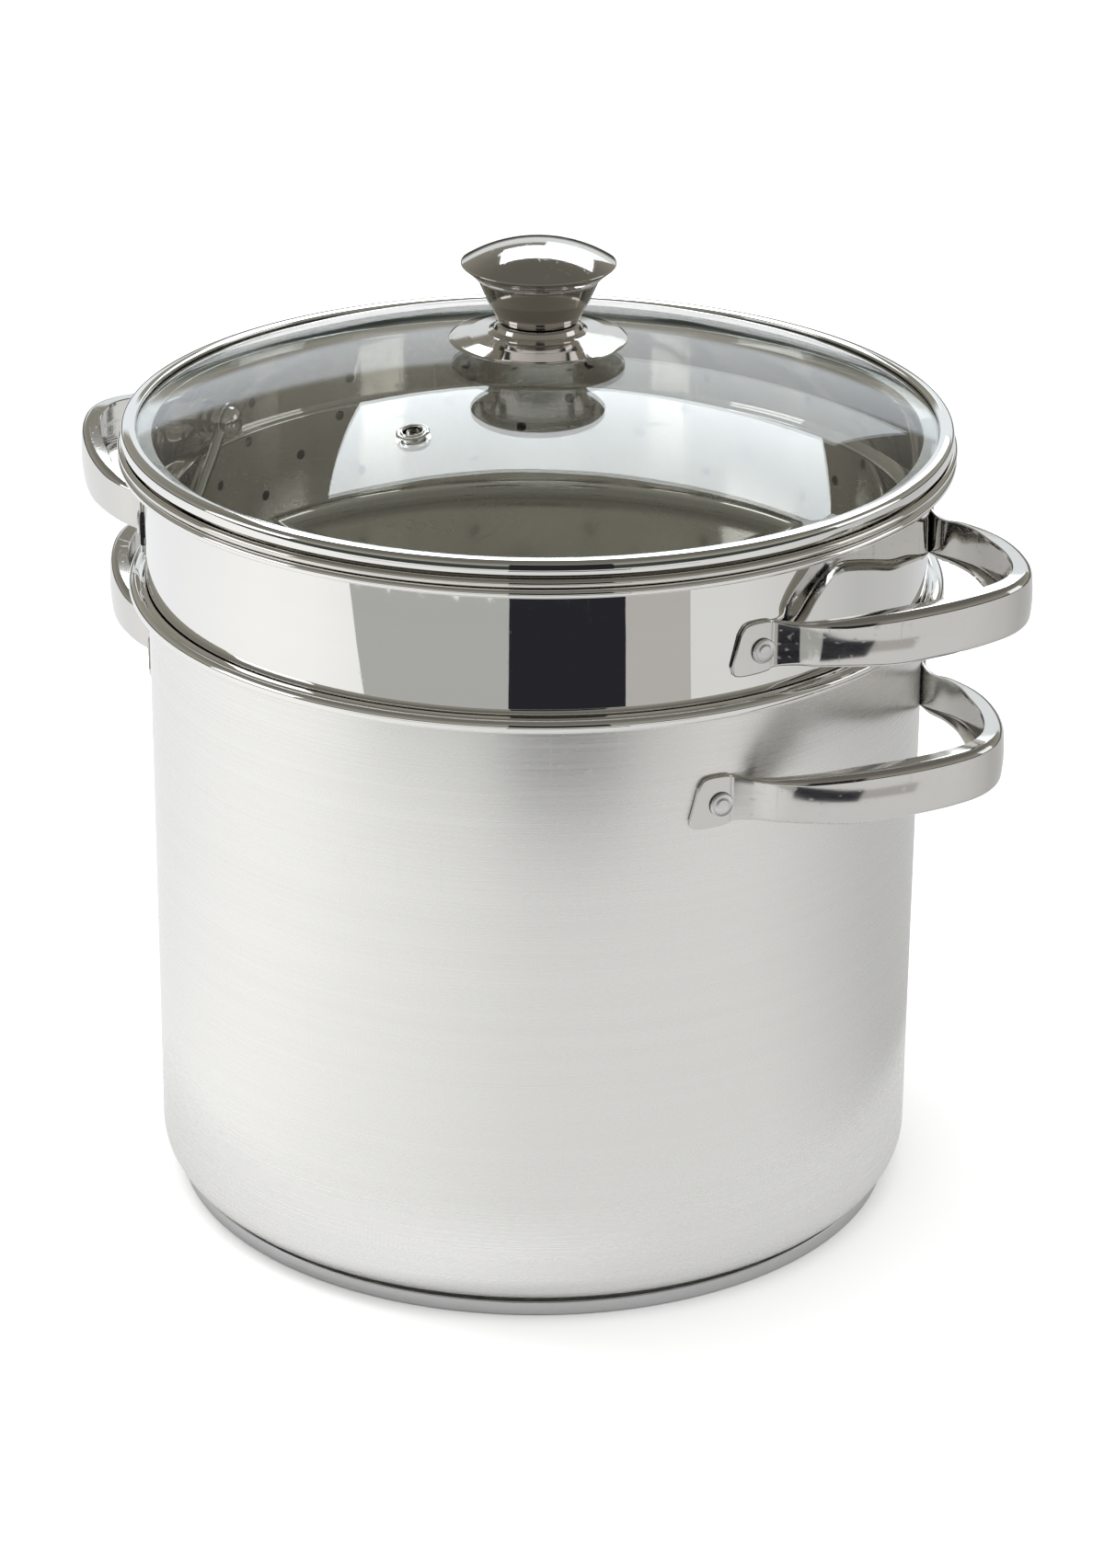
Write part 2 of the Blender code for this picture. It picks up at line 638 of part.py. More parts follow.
def vent_frame():
    """Matrix at the vent, with +Z along the outward normal of the glass."""
    place = outward(VENT_TURN) * VENT_RADIUS
    slope = VENT_RADIUS / GLASS_SPHERE
    normal = outward(VENT_TURN) * slope + Vector((0, 0, math.sqrt(1 - slope ** 2)))
    place.z = glass_height(VENT_RADIUS)
    return Matrix.Translation(place) @ along(normal)


def make_glass():
    radii = [GLASS_RADIUS * 0.28, VENT_RADIUS - VENT_FLANGE, VENT_RADIUS + VENT_FLANGE, GLASS_RADIUS * 0.84]
    edge = GLASS_RADIUS - 0.0008
    profile = [(GLASS_BORE, glass_height(GLASS_BORE))]
    profile += [(r, glass_height(r)) for r in radii]
    profile += [(edge, glass_height(edge)), (GLASS_RADIUS, glass_height(edge) - 0.0009)]
    low = GLASS_RADIUS - 0.0004
    profile += [(GLASS_RADIUS, glass_height(low, GLASS_THICKNESS) + 0.0007)]
    profile += [(edge, glass_height(edge, GLASS_THICKNESS))]
    profile += [(r, glass_height(r, GLASS_THICKNESS)) for r in reversed(radii)]
    profile += [(GLASS_BORE, glass_height(GLASS_BORE, GLASS_THICKNESS))]
    glass = turned("lid_glass", profile, GLASS, closed=True)
    frame = vent_frame()
    normal = frame.to_3x3() @ Vector((0, 0, 1))
    vent = cylinders("vent_hole", [(frame.translation, normal)], VENT_TUBE + GAP, 0.020, 16)
    cut(glass, vent)


def make_band():
    """Steel band round the glass: lip on top, rolled outer edge, seat, and locating skirt."""
    seat = LID_SEAT
    outer_low = seat + BAND_LIFT
    outer_mid = outer_low + BAND_OUTER_HEIGHT / 2
    outer_high = outer_low + BAND_OUTER_HEIGHT
    groove = GLASS_RADIUS + GAP
    lip = BAND_LIP_RADIUS
    lip_low = glass_height(lip) + GAP
    over = glass_height(GLASS_RADIUS) + GAP + 0.0003
    skirt_out = STEAMER_RADIUS - SHEET - 0.0005
    skirt_low = STEAMER_RIM_TOP - BAND_SKIRT
    profile = [(lip, lip_low + BAND_SHEET), (groove, over + BAND_SHEET + 0.0005)]
    profile += [(BAND_RADIUS - 0.0020, outer_high + 0.0006), (BAND_RADIUS - 0.0005, outer_high - 0.0002)]
    profile += [(BAND_RADIUS, outer_mid), (BAND_RADIUS - 0.0004, outer_low + 0.0002)]
    profile += [(BAND_RADIUS - 0.0012, outer_low), (groove + 0.0020, outer_low)]
    profile += [(groove + 0.0010, seat), (STEAMER_RADIUS + RIM_FLARE - SHEET, seat)]
    profile += [(skirt_out + 0.0008, STEAMER_RIM_TOP - 0.0008), (skirt_out, skirt_low + 0.0003)]
    profile += [(skirt_out - BAND_SHEET, skirt_low), (skirt_out - BAND_SHEET, skirt_low + 0.0012)]
    profile += [(skirt_out + 0.0004, STEAMER_RIM_TOP + 0.0002), (lip, seat + BAND_SHEET)]
    profile += [(groove, seat + BAND_SHEET), (groove, over), (lip, lip_low)]
    turned("lid_band", profile, POLISHED, closed=True)


def make_vent():
    depth = GLASS_THICKNESS + GAP
    profile = [(VENT_BORE + 0.0004, VENT_FLANGE_HEIGHT + GAP), (VENT_TUBE + 0.0003, VENT_FLANGE_HEIGHT + GAP)]
    profile += [(VENT_FLANGE, GAP + VENT_FLANGE_HEIGHT * 0.5), (VENT_FLANGE, GAP), (VENT_TUBE, GAP)]
    profile += [(VENT_TUBE, -depth), (VENT_FLANGE, -depth), (VENT_FLANGE, -depth - 0.0005)]
    profile += [(VENT_TUBE, -depth - 0.0009), (VENT_BORE, -depth - 0.0009), (VENT_BORE, VENT_FLANGE_HEIGHT)]
    vent = turned("vent_eyelet", profile, POLISHED, steps=16, closed=True)
    vent.matrix_world = vent_frame()


def make_knob():
    seal_low = GLASS_TOP + GAP
    foot = seal_low + SEAL_THICKNESS + GAP
    seal = [(SEAL_RADIUS, foot - GAP), (SEAL_RADIUS, seal_low), (SCREW_BORE, seal_low)]
    seal += [(SCREW_BORE, foot - GAP)]
    turned("knob_seal", seal, SILICONE, steps=18, closed=True)
    rim_low = foot + FLANGE_LIFT
    rim_high = rim_low + FLANGE_EDGE
    hub_top = rim_high + FLANGE_HUB_HEIGHT
    flange = [(SCREW_BORE, hub_top), (FLANGE_HUB_RADIUS - 0.0006, hub_top)]
    flange += [(FLANGE_HUB_RADIUS, hub_top - 0.0008), (FLANGE_HUB_RADIUS + 0.0012, rim_high + 0.0018)]
    flange += [(FLANGE_HUB_FOOT, rim_high + 0.0003), (FLANGE_RADIUS - 0.0020, rim_high)]
    flange += [(FLANGE_RADIUS, (rim_low + rim_high) / 2), (FLANGE_RADIUS - 0.0016, rim_low)]
    flange += [(FLANGE_FOOT + 0.0030, rim_low + 0.0002), (FLANGE_FOOT, foot), (SCREW_BORE, foot)]
    turned("knob_flange", flange, POLISHED, steps=30, closed=True)
    low = hub_top + GAP
    high = low + KNOB_BODY_HEIGHT
    grip = low + SCREW_GRIP
    body = [(0.0, high), (KNOB_TOP_RADIUS, high), (KNOB_TOP_RADIUS, high - 0.0010)]
    middle = (KNOB_NECK_RADIUS + KNOB_TOP_RADIUS) / 2
    body += [(middle - 0.0006, (low + high) / 2), (KNOB_NECK_RADIUS, low + 0.0010)]
    body += [(KNOB_NECK_RADIUS - 0.0008, low), (SCREW_BORE, low), (SCREW_BORE, grip + GAP), (0.0, grip + GAP)]
    turned("knob_body", body, POLISHED, steps=30)
    cap_low = high + GAP
    cap = [(0.0, cap_low + CAP_LIP + CAP_DOME)]
    for degree in (18, 36, 54, 72):
        t = math.radians(degree)
        cap.append((CAP_RADIUS * 0.97 * math.sin(t), cap_low + CAP_LIP + CAP_DOME * math.cos(t)))
    cap += [(CAP_RADIUS, cap_low + CAP_LIP), (KNOB_TOP_RADIUS + 0.0008, cap_low), (0.0, cap_low)]
    turned("knob_cap", cap, POLISHED, steps=30)
    make_screw(grip)


def make_screw(top):
    under = glass_height(WASHER_RADIUS, GLASS_THICKNESS) - GAP
    washer = [(WASHER_RADIUS, under), (WASHER_RADIUS, under - WASHER_THICKNESS)]
    washer += [(SCREW_BORE, under - WASHER_THICKNESS), (SCREW_BORE, under)]
    turned("screw_washer", washer, POLISHED, steps=18, closed=True)
    head = under - WASHER_THICKNESS - GAP
    screw = [(0.0, top), (SCREW_RADIUS, top), (SCREW_RADIUS, head), (SCREW_HEAD, head)]
    screw += [(SCREW_HEAD * 0.9, head - SCREW_HEAD_HEIGHT * 0.6), (SCREW_HEAD * 0.5, head - SCREW_HEAD_HEIGHT)]
    screw += [(0.0, head - SCREW_HEAD_HEIGHT)]
    turned("knob_screw", screw, POLISHED, steps=16)


make_pot()
make_base()
make_canning_basket()
make_handles_and_rivets()
make_steamer_basket()
make_bail()
for side_name, side_turn in zip(("right", "left"), bail_turns()):
    make_pivot(side_name, side_turn)
make_glass()
make_band()
make_vent()
make_knob()
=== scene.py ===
import math

import bmesh
import bpy
from mathutils import Matrix, Vector


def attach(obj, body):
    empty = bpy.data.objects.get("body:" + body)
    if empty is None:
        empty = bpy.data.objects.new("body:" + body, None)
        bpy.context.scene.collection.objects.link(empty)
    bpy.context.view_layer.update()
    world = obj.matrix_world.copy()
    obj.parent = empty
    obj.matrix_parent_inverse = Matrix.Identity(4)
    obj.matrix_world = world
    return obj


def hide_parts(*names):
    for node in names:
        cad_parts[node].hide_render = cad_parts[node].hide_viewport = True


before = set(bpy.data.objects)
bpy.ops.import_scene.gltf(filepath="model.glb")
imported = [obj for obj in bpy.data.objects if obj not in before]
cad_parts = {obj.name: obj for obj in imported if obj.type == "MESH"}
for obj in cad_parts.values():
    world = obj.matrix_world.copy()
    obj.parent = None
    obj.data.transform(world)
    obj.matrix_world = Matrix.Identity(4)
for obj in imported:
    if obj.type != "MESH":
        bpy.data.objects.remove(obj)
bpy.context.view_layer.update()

# ---- sizes shared with the solid parts, in metres ----
GAP = 0.0003
SHEET = 0.0008
POT_RADIUS = 0.1300
POT_RIM_TOP = 0.2172
BASE_RADIUS = POT_RADIUS - 0.0060
BASKET_RADIUS = POT_RADIUS + 0.0006
BASKET_BODY = POT_RADIUS - SHEET - 0.0024
BASKET_RIM_TOP = POT_RIM_TOP + 0.0441
STEAMER_RADIUS = BASKET_RADIUS - SHEET - 0.0022
STEAMER_BODY = STEAMER_RADIUS - 0.0036
RIM_RADIUS = BASKET_RADIUS + 0.0082
BASKET_TURN = 5.9
POT_RIVET_HEIGHT = POT_RIM_TOP - 0.0355
BASKET_RIVET_HEIGHT = BASKET_RIM_TOP - 0.0299
HANDLE_SHEET = 0.0012
HANDLE_REACH = POT_RADIUS + 0.0465
RIVET_TURN = 28.7
STEAMER_RIM_TOP = BASKET_RIM_TOP + GAP + 0.0029
PIVOT_HEIGHT = STEAMER_RIM_TOP - 0.0180
BAIL_LENGTH = STEAMER_BODY - 0.0110
GLASS_RADIUS = STEAMER_RADIUS + 0.0044
GLASS_THICKNESS = 0.0031
GLASS_RISE = 0.0248
LID_SEAT = STEAMER_RIM_TOP + GAP
GLASS_TOP = LID_SEAT + 0.0006 + GAP + GLASS_THICKNESS + GLASS_RISE
PANE_RADIUS = GLASS_RADIUS + 0.0013
GLASS_SPHERE = (GLASS_RADIUS ** 2 + GLASS_RISE ** 2) / (2 * GLASS_RISE)
VENT_RADIUS = GLASS_RADIUS - 0.0563
VENT_TURN = -86.5
POT_BOTTOM = 0.0006 + GAP + 0.0043 + GAP
POT_FLOOR = POT_BOTTOM + SHEET
POT_CORNER = 0.0110
POT_FLARE = 0.0040
POT_CURL = 0.0024
BASKET_SHOULDER = 0.0015
STEAMER_DEPTH = 0.0660
STEAMER_STEP = 0.0253
RIVET_HOLE = 0.0026
RIVET_DRILL = 0.0120
WASHER_THICKNESS = 0.0020
WIRE_RADIUS = 0.0020
EYE_THICKNESS = 0.0024
# The solids' walls are turned in 36 steps, so the middle of a flat lies nearer the axis by this share.
WALL_FLAT = math.cos(math.pi / 36)

# ---- making of meshes ----
SHARP = 38.0       # degrees, from which an edge stays sharp
WELD = 0.0000005   # metres, within which points become one

# ---- the room: +Y runs away from the camera ----
ROOM_TURN = math.radians(34.65)
ROOM = Matrix.Rotation(ROOM_TURN, 4, "Z")


# ---------------------------------------------------------------- finishes

def socket(tree, name, way, kind="NodeSocketFloat", value=None):
    made = tree.interface.new_socket(name=name, in_out=way, socket_type=kind)
    if value is not None:
        made.default_value = value
    return made


def node(tree, kind, **values):
    made = tree.nodes.new(kind)
    for key, value in values.items():
        if key.startswith("in_"):
            index = key[3:]
            made.inputs[int(index) if index.isdigit() else index.replace("_", " ")].default_value = value
        else:
            setattr(made, key, value)
    return made


def wire(tree, source, target):
    tree.links.new(source, target)
    return target


def new_material(name):
    """A material with its node tree and shader."""
    made = bpy.data.materials.new(name)
    made.use_nodes = True
    return made, made.node_tree, made.node_tree.nodes["Principled BSDF"]


def turned_lines_group():
    """Fine rings left by polishing on a lathe: they run round +Z and change along it."""
    tree = bpy.data.node_groups.new("turned_lines", "ShaderNodeTree")
    socket(tree, "Rings", "INPUT", value=1500.0)
    socket(tree, "Break Up", "INPUT", value=5.0)
    socket(tree, "Height", "OUTPUT")
    socket(tree, "Coarse", "OUTPUT")
    start, end = node(tree, "NodeGroupInput"), node(tree, "NodeGroupOutput")
    place = node(tree, "ShaderNodeTexCoord")
    stretch = node(tree, "ShaderNodeCombineXYZ")
    wire(tree, start.outputs["Break Up"], stretch.inputs["X"])
    wire(tree, start.outputs["Break Up"], stretch.inputs["Y"])
    wire(tree, start.outputs["Rings"], stretch.inputs["Z"])
    scaled = node(tree, "ShaderNodeVectorMath", operation="MULTIPLY")
    wire(tree, place.outputs["Object"], scaled.inputs[0])
    wire(tree, stretch.outputs["Vector"], scaled.inputs[1])
    fine = node(tree, "ShaderNodeTexNoise", in_Scale=1.0, in_Detail=3.0, in_Roughness=0.7)
    wire(tree, scaled.outputs["Vector"], fine.inputs["Vector"])
    slower = node(tree, "ShaderNodeVectorMath", operation="MULTIPLY")
    slower.inputs[1].default_value = (0.6, 0.6, 0.16)
    wire(tree, scaled.outputs["Vector"], slower.inputs[0])
    coarse = node(tree, "ShaderNodeTexNoise", in_Scale=1.0, in_Detail=2.0, in_Roughness=0.6)
    wire(tree, slower.outputs["Vector"], coarse.inputs["Vector"])
    wire(tree, fine.outputs["Fac"], end.inputs["Height"])
    wire(tree, coarse.outputs["Fac"], end.inputs["Coarse"])
    return tree


def handling_group():
    """Hairline scratches and faint cloudy smears that use leaves on polished sheet."""
    tree = bpy.data.node_groups.new("handling_marks", "ShaderNodeTree")
    socket(tree, "Scale", "INPUT", value=1.0)
    socket(tree, "Scratches", "OUTPUT")
    socket(tree, "Smears", "OUTPUT")
    start, end = node(tree, "NodeGroupInput"), node(tree, "NodeGroupOutput")
    place = node(tree, "ShaderNodeTexCoord")
    sized = node(tree, "ShaderNodeVectorMath", operation="SCALE")
    wire(tree, place.outputs["Object"], sized.inputs[0])
    wire(tree, start.outputs["Scale"], sized.inputs["Scale"])
    total = None
    for turn, stretch in ((0.7, (160.0, 160.0, 9.0)), (-0.9, (130.0, 14.0, 130.0)), (2.1, (12.0, 170.0, 150.0))):
        lay = node(tree, "ShaderNodeMapping")
        lay.inputs["Rotation"].default_value = (turn, turn * 0.6, turn * 0.3)
        lay.inputs["Scale"].default_value = stretch
        wire(tree, sized.outputs["Vector"], lay.inputs["Vector"])
        grain = node(tree, "ShaderNodeTexNoise", in_Scale=4.0, in_Detail=0.0)
        wire(tree, lay.outputs["Vector"], grain.inputs["Vector"])
        sharp = node(tree, "ShaderNodeMapRange", in_From_Min=0.735, in_From_Max=0.80, in_To_Min=0.0, in_To_Max=1.0)
        wire(tree, grain.outputs["Fac"], sharp.inputs["Value"])
        if total is None:
            total = sharp.outputs["Result"]
        else:
            added = node(tree, "ShaderNodeMath", operation="MAXIMUM")
            wire(tree, total, added.inputs[0])
            wire(tree, sharp.outputs["Result"], added.inputs[1])
            total = added.outputs["Value"]
    cloud = node(tree, "ShaderNodeTexNoise", in_Scale=28.0, in_Detail=4.0, in_Roughness=0.6)
    wire(tree, sized.outputs["Vector"], cloud.inputs["Vector"])
    soft = node(tree, "ShaderNodeMapRange", in_From_Min=0.42, in_From_Max=0.68, in_To_Min=0.0, in_To_Max=1.0)
    wire(tree, cloud.outputs["Fac"], soft.inputs["Value"])
    wire(tree, total, end.inputs["Scratches"])
    wire(tree, soft.outputs["Result"], end.inputs["Smears"])
    return tree


LINES = turned_lines_group()
MARKS = handling_group()


def steel(name, colour, tint, roughness, spread, rings, ring_bump, wave, wave_bump, anisotropic=0.0, marks=0.5):
    """Metal whose colour, roughness and small relief all come from rings, smears and hairlines."""
    made, tree, shader = new_material(name)
    shader.inputs["Metallic"].default_value = 1.0
    shader.inputs["Anisotropic"].default_value = anisotropic
    lines = node(tree, "ShaderNodeGroup", node_tree=LINES)
    lines.inputs["Rings"].default_value = rings
    worn = node(tree, "ShaderNodeGroup", node_tree=MARKS)
    shade = node(tree, "ShaderNodeMix", data_type="RGBA")
    shade.inputs["A"].default_value = (*colour, 1.0)
    shade.inputs["B"].default_value = (*tint, 1.0)
    wire(tree, lines.outputs["Coarse"], shade.inputs["Factor"])
    wire(tree, shade.outputs["Result"], shader.inputs["Base Color"])
    rough = node(
        tree, "ShaderNodeMapRange", in_From_Min=0.3, in_From_Max=0.7, in_To_Min=roughness,
        in_To_Max=roughness + spread)
    wire(tree, lines.outputs["Height"], rough.inputs["Value"])
    smeared = node(tree, "ShaderNodeMath", operation="MULTIPLY_ADD")
    smeared.inputs[1].default_value = spread * 0.6 * marks
    wire(tree, worn.outputs["Smears"], smeared.inputs[0])
    wire(tree, rough.outputs["Result"], smeared.inputs[2])
    scratched = node(tree, "ShaderNodeMath", operation="MULTIPLY_ADD")
    scratched.inputs[1].default_value = 0.22 * marks
    wire(tree, worn.outputs["Scratches"], scratched.inputs[0])
    wire(tree, smeared.outputs["Value"], scratched.inputs[2])
    wire(tree, scratched.outputs["Value"], shader.inputs["Roughness"])
    place = node(tree, "ShaderNodeTexCoord")
    ripple = node(tree, "ShaderNodeTexNoise", in_Scale=wave, in_Detail=2.0)
    wire(tree, place.outputs["Object"], ripple.inputs["Vector"])
    low = node(tree, "ShaderNodeBump", in_Strength=1.0, in_Distance=wave_bump)
    wire(tree, ripple.outputs["Fac"], low.inputs["Height"])
    high = node(tree, "ShaderNodeBump", in_Strength=1.0, in_Distance=ring_bump)
    wire(tree, lines.outputs["Height"], high.inputs["Height"])
    wire(tree, low.outputs["Normal"], high.inputs["Normal"])
    wire(tree, high.outputs["Normal"], shader.inputs["Normal"])
    return made


SATIN = steel(
    "turned satin steel", colour=(0.915, 0.91, 0.895), tint=(0.875, 0.87, 0.855),
    roughness=0.24, spread=0.08, rings=1700.0, ring_bump=0.0000025, wave=26.0,
    wave_bump=0.00002, anisotropic=0.72, marks=0.12)
MIRROR = steel(
    "mirror steel sheet", colour=(0.90, 0.895, 0.88), tint=(0.87, 0.865, 0.85),
    roughness=0.016, spread=0.010, rings=900.0, ring_bump=0.0000004, wave=30.0,
    wave_bump=0.00003, marks=0.12)
INSIDE = steel(
    "mirror steel inside", colour=(0.80, 0.785, 0.75), tint=(0.74, 0.725, 0.69),
    roughness=0.03, spread=0.02, rings=700.0, ring_bump=0.0000010, wave=30.0,
    wave_bump=0.00006, marks=0.4)
GRIP = steel(
    "hand polished strap", colour=(0.76, 0.75, 0.73), tint=(0.70, 0.69, 0.67),
    roughness=0.07, spread=0.04, rings=320.0, ring_bump=0.0000010, wave=40.0,
    wave_bump=0.00005, marks=0.5)
FLOOR = steel(
    "turned steamer floor", colour=(0.86, 0.84, 0.79), tint=(0.66, 0.64, 0.59),
    roughness=0.16, spread=0.10, rings=700.0, ring_bump=0.000003, wave=30.0,
    wave_bump=0.00006, anisotropic=0.5, marks=0.3)
KNOB = steel(
    "polished knob steel", colour=(0.70, 0.675, 0.65), tint=(0.65, 0.625, 0.60),
    roughness=0.05, spread=0.02, rings=900.0, ring_bump=0.0000006, wave=90.0,
    wave_bump=0.00002, marks=0.5)
BASE = steel(
    "turned base steel", colour=(0.72, 0.72, 0.725), tint=(0.64, 0.64, 0.645),
    roughness=0.30, spread=0.10, rings=2600.0, ring_bump=0.000005, wave=30.0,
    wave_bump=0.00001, anisotropic=0.6, marks=0.4)
ALUMINIUM = steel(
    "pressed aluminium", colour=(0.90, 0.90, 0.91), tint=(0.78, 0.78, 0.79),
    roughness=0.34, spread=0.16, rings=500.0, ring_bump=0.000006, wave=500.0,
    wave_bump=0.00003, marks=0.6)


def glass_finish():
    made, tree, shader = new_material("clear tempered glass")
    shader.inputs["Base Color"].default_value = (0.965, 0.985, 0.98, 1.0)
    shader.inputs["Transmission Weight"].default_value = 1.0
    shader.inputs["IOR"].default_value = 1.52
    worn = node(tree, "ShaderNodeGroup", node_tree=MARKS)
    film = node(tree, "ShaderNodeMapRange", in_To_Min=0.0, in_To_Max=0.006)
    wire(tree, worn.outputs["Scratches"], film.inputs["Value"])
    wire(tree, film.outputs["Result"], shader.inputs["Roughness"])
    place = node(tree, "ShaderNodeTexCoord")
    ripple = node(tree, "ShaderNodeTexNoise", in_Scale=22.0, in_Detail=1.0)
    wire(tree, place.outputs["Object"], ripple.inputs["Vector"])
    bump = node(tree, "ShaderNodeBump", in_Strength=1.0, in_Distance=0.00005)
    wire(tree, ripple.outputs["Fac"], bump.inputs["Height"])
    wire(tree, bump.outputs["Normal"], shader.inputs["Normal"])
    return made


def silicone_finish():
    made, tree, shader = new_material("matte silicone")
    place = node(tree, "ShaderNodeTexCoord")
    speck = node(tree, "ShaderNodeTexNoise", in_Scale=900.0, in_Detail=2.0)
    wire(tree, place.outputs["Object"], speck.inputs["Vector"])
    shade = node(tree, "ShaderNodeMix", data_type="RGBA")
    shade.inputs["A"].default_value = (0.10, 0.10, 0.10, 1.0)
    shade.inputs["B"].default_value = (0.16, 0.16, 0.155, 1.0)
    wire(tree, speck.outputs["Fac"], shade.inputs["Factor"])
    wire(tree, shade.outputs["Result"], shader.inputs["Base Color"])
    shader.inputs["Roughness"].default_value = 0.6
    bump = node(tree, "ShaderNodeBump", in_Strength=0.4, in_Distance=0.00003)
    wire(tree, speck.outputs["Fac"], bump.inputs["Height"])
    wire(tree, bump.outputs["Normal"], shader.inputs["Normal"])
    return made


GLASS = glass_finish()
SILICONE = silicone_finish()


# ---------------------------------------------------------------- making shapes

def arc(centre_r, centre_z, radius, start, end, pieces):
    points = []
    for i in range(pieces + 1):
        angle = math.radians(start + (end - start) * i / pieces)
        points.append((centre_r + radius * math.cos(angle), centre_z + radius * math.sin(angle)))
    return points


def rounded(corners, pieces=6):
    """A path of (r, z, rounding) corners with each corner replaced by its arc."""
    points = []
    for i, (r, z, size) in enumerate(corners):
        here = Vector((r, z))
        if size <= 0.0 or i in (0, len(corners) - 1):
            points.append((r, z))
            continue
        back = Vector(corners[i - 1][:2]) - here
        on = Vector(corners[i + 1][:2]) - here
        half = back.angle(on) / 2
        reach = min(size / math.tan(half), back.length * 0.49, on.length * 0.49)
        a, b = here + back.normalized() * reach, here + on.normalized() * reach
        for k in range(pieces + 1):
            t = k / pieces
            points.append(tuple(a * (1 - t) ** 2 + here * 2 * t * (1 - t) + b * t * t))
    return points


def outward(angle):
    turn = math.radians(angle)
    return Vector((math.cos(turn), math.sin(turn), 0.0))


def along(direction):
    return direction.normalized().to_track_quat("Z", "Y").to_matrix().to_4x4()


def wall_places(radius, height, turns):
    """Points on a round wall, each with the way that the wall faces there."""
    return [(outward(turn) * radius + Vector((0, 0, height)), outward(turn)) for turn in turns]


def rivet_turns(turn):
    return [turn + side + sign * RIVET_TURN for side in (0.0, 180.0) for sign in (-1, 1)]


def new_object(shape, name):
    """The shape as an object in the scene. The shape itself is used up."""
    mesh = bpy.data.meshes.new(name)
    shape.to_mesh(mesh)
    shape.free()
    obj = bpy.data.objects.new(name, mesh)
    bpy.context.scene.collection.objects.link(obj)
    return obj


def finish_mesh(shape, name, finish, sharp=SHARP):
    obj = new_object(shape, name)
    if finish is not None:
        obj.data.materials.append(finish)
    obj.data.shade_smooth()
    obj.data.set_sharp_from_angle(angle=math.radians(sharp))
    return obj


def spin(shape, geom, steps):
    bmesh.ops.spin(
        shape, geom=geom, cent=(0, 0, 0), axis=(0, 0, 1), dvec=(0, 0, 0), angle=2 * math.pi, steps=steps,
        use_merge=True, use_normal_flip=False, use_duplicate=False)


def lathe(name, profile, finish, closed=False, steps=180, matrix=None, sharp=SHARP):
    """A section of (radius, height) points spun round +Z, then put in its place."""
    shape = bmesh.new()
    verts = [shape.verts.new((r, 0.0, z)) for r, z in profile]
    edges = [shape.edges.new(pair) for pair in zip(verts, verts[1:])]
    if closed:
        edges.append(shape.edges.new((verts[-1], verts[0])))
    spin(shape, verts + edges, steps)
    bmesh.ops.remove_doubles(shape, verts=shape.verts, dist=WELD)
    if matrix is not None:
        bmesh.ops.transform(shape, matrix=matrix, verts=shape.verts)
    bmesh.ops.recalc_face_normals(shape, faces=shape.faces)
    return finish_mesh(shape, name, finish, sharp)


def drills(places, radius, length, sides=20):
    shape = bmesh.new()
    for centre, direction in places:
        bmesh.ops.create_cone(
            shape, cap_ends=True, cap_tris=False, segments=sides, radius1=radius, radius2=radius,
            depth=length, matrix=Matrix.Translation(centre) @ along(direction))
    return finish_mesh(shape, "drill", None)


def carve(obj, tool, operation="DIFFERENCE"):
    """The Boolean's result becomes the object's mesh, and the tool is removed."""
    change = obj.modifiers.new("carve", "BOOLEAN")
    change.operation = operation
    change.solver = "EXACT"
    change.object = tool
    bpy.context.view_layer.update()
    made = bpy.data.meshes.new_from_object(obj.evaluated_get(bpy.context.evaluated_depsgraph_get()))
    old = obj.data
    obj.modifiers.remove(change)
    obj.data = made
    bpy.data.meshes.remove(old)
    bpy.data.objects.remove(tool, do_unlink=True)
    made.shade_smooth()
    made.set_sharp_from_angle(angle=math.radians(SHARP))


def even_normals(obj):
    """Keeps the wide faces true where small faces meet them round a hole."""
    weigh = obj.modifiers.new("even_normals", "WEIGHTED_NORMAL")
    weigh.keep_sharp = True
    weigh.weight = 60


def fit(obj, body, slot, *nodes):
    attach(obj, body)
    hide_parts(*nodes)
    return obj


# ---------------------------------------------------------------- pot and base

def rolled_rim(inner, flat_end, top, flare, curl):
    """A sheet's edge flared outwards and rolled down, as the last part of its outline."""
    centre = inner + flare
    points = arc(centre, top - flare, flare, 180, 90, 10)
    points += arc(flat_end, top - curl, curl, 90, -120, 20)
    points += arc(flat_end, top - curl, curl - SHEET, -120, 90, 16)
    points += arc(centre, top - flare, flare - SHEET, 90, 180, 8)
    return points


def make_pot():
    inner = POT_RADIUS - SHEET
    corner_r, corner_z = POT_RADIUS - POT_CORNER, POT_BOTTOM + POT_CORNER
    profile = [(0.0, POT_FLOOR), (0.06, POT_FLOOR)]
    profile += arc(corner_r, corner_z, POT_CORNER - SHEET, -90, 0, 12)
    profile += [(inner, 0.06), (inner, 0.13)]
    profile += rolled_rim(inner, inner + POT_FLARE + 0.0009, POT_RIM_TOP, POT_FLARE, POT_CURL)
    profile += [(POT_RADIUS, 0.16), (POT_RADIUS, 0.10), (POT_RADIUS, 0.05)]
    profile += arc(corner_r, corner_z, POT_CORNER, 0, -90, 14)
    profile += [(0.06, POT_BOTTOM), (0.0, POT_BOTTOM)]
    pot = lathe("pot_shell", profile, SATIN)
    carve(pot, drills(wall_places(POT_RADIUS, POT_RIVET_HEIGHT, rivet_turns(0.0)), RIVET_HOLE, RIVET_DRILL))
    # The rolled rim is polished, and the wall below it is satin.
    pot.data.materials.append(MIRROR)
    for face in pot.data.polygons:
        centre = face.center
        reach = math.hypot(centre.x, centre.y)
        if centre.z > POT_RIM_TOP - 0.0034 and reach > inner + 0.0006:
            face.material_index = 1
    even_normals(pot)
    fit(pot, "pot", "satin_steel", "stock_pot")


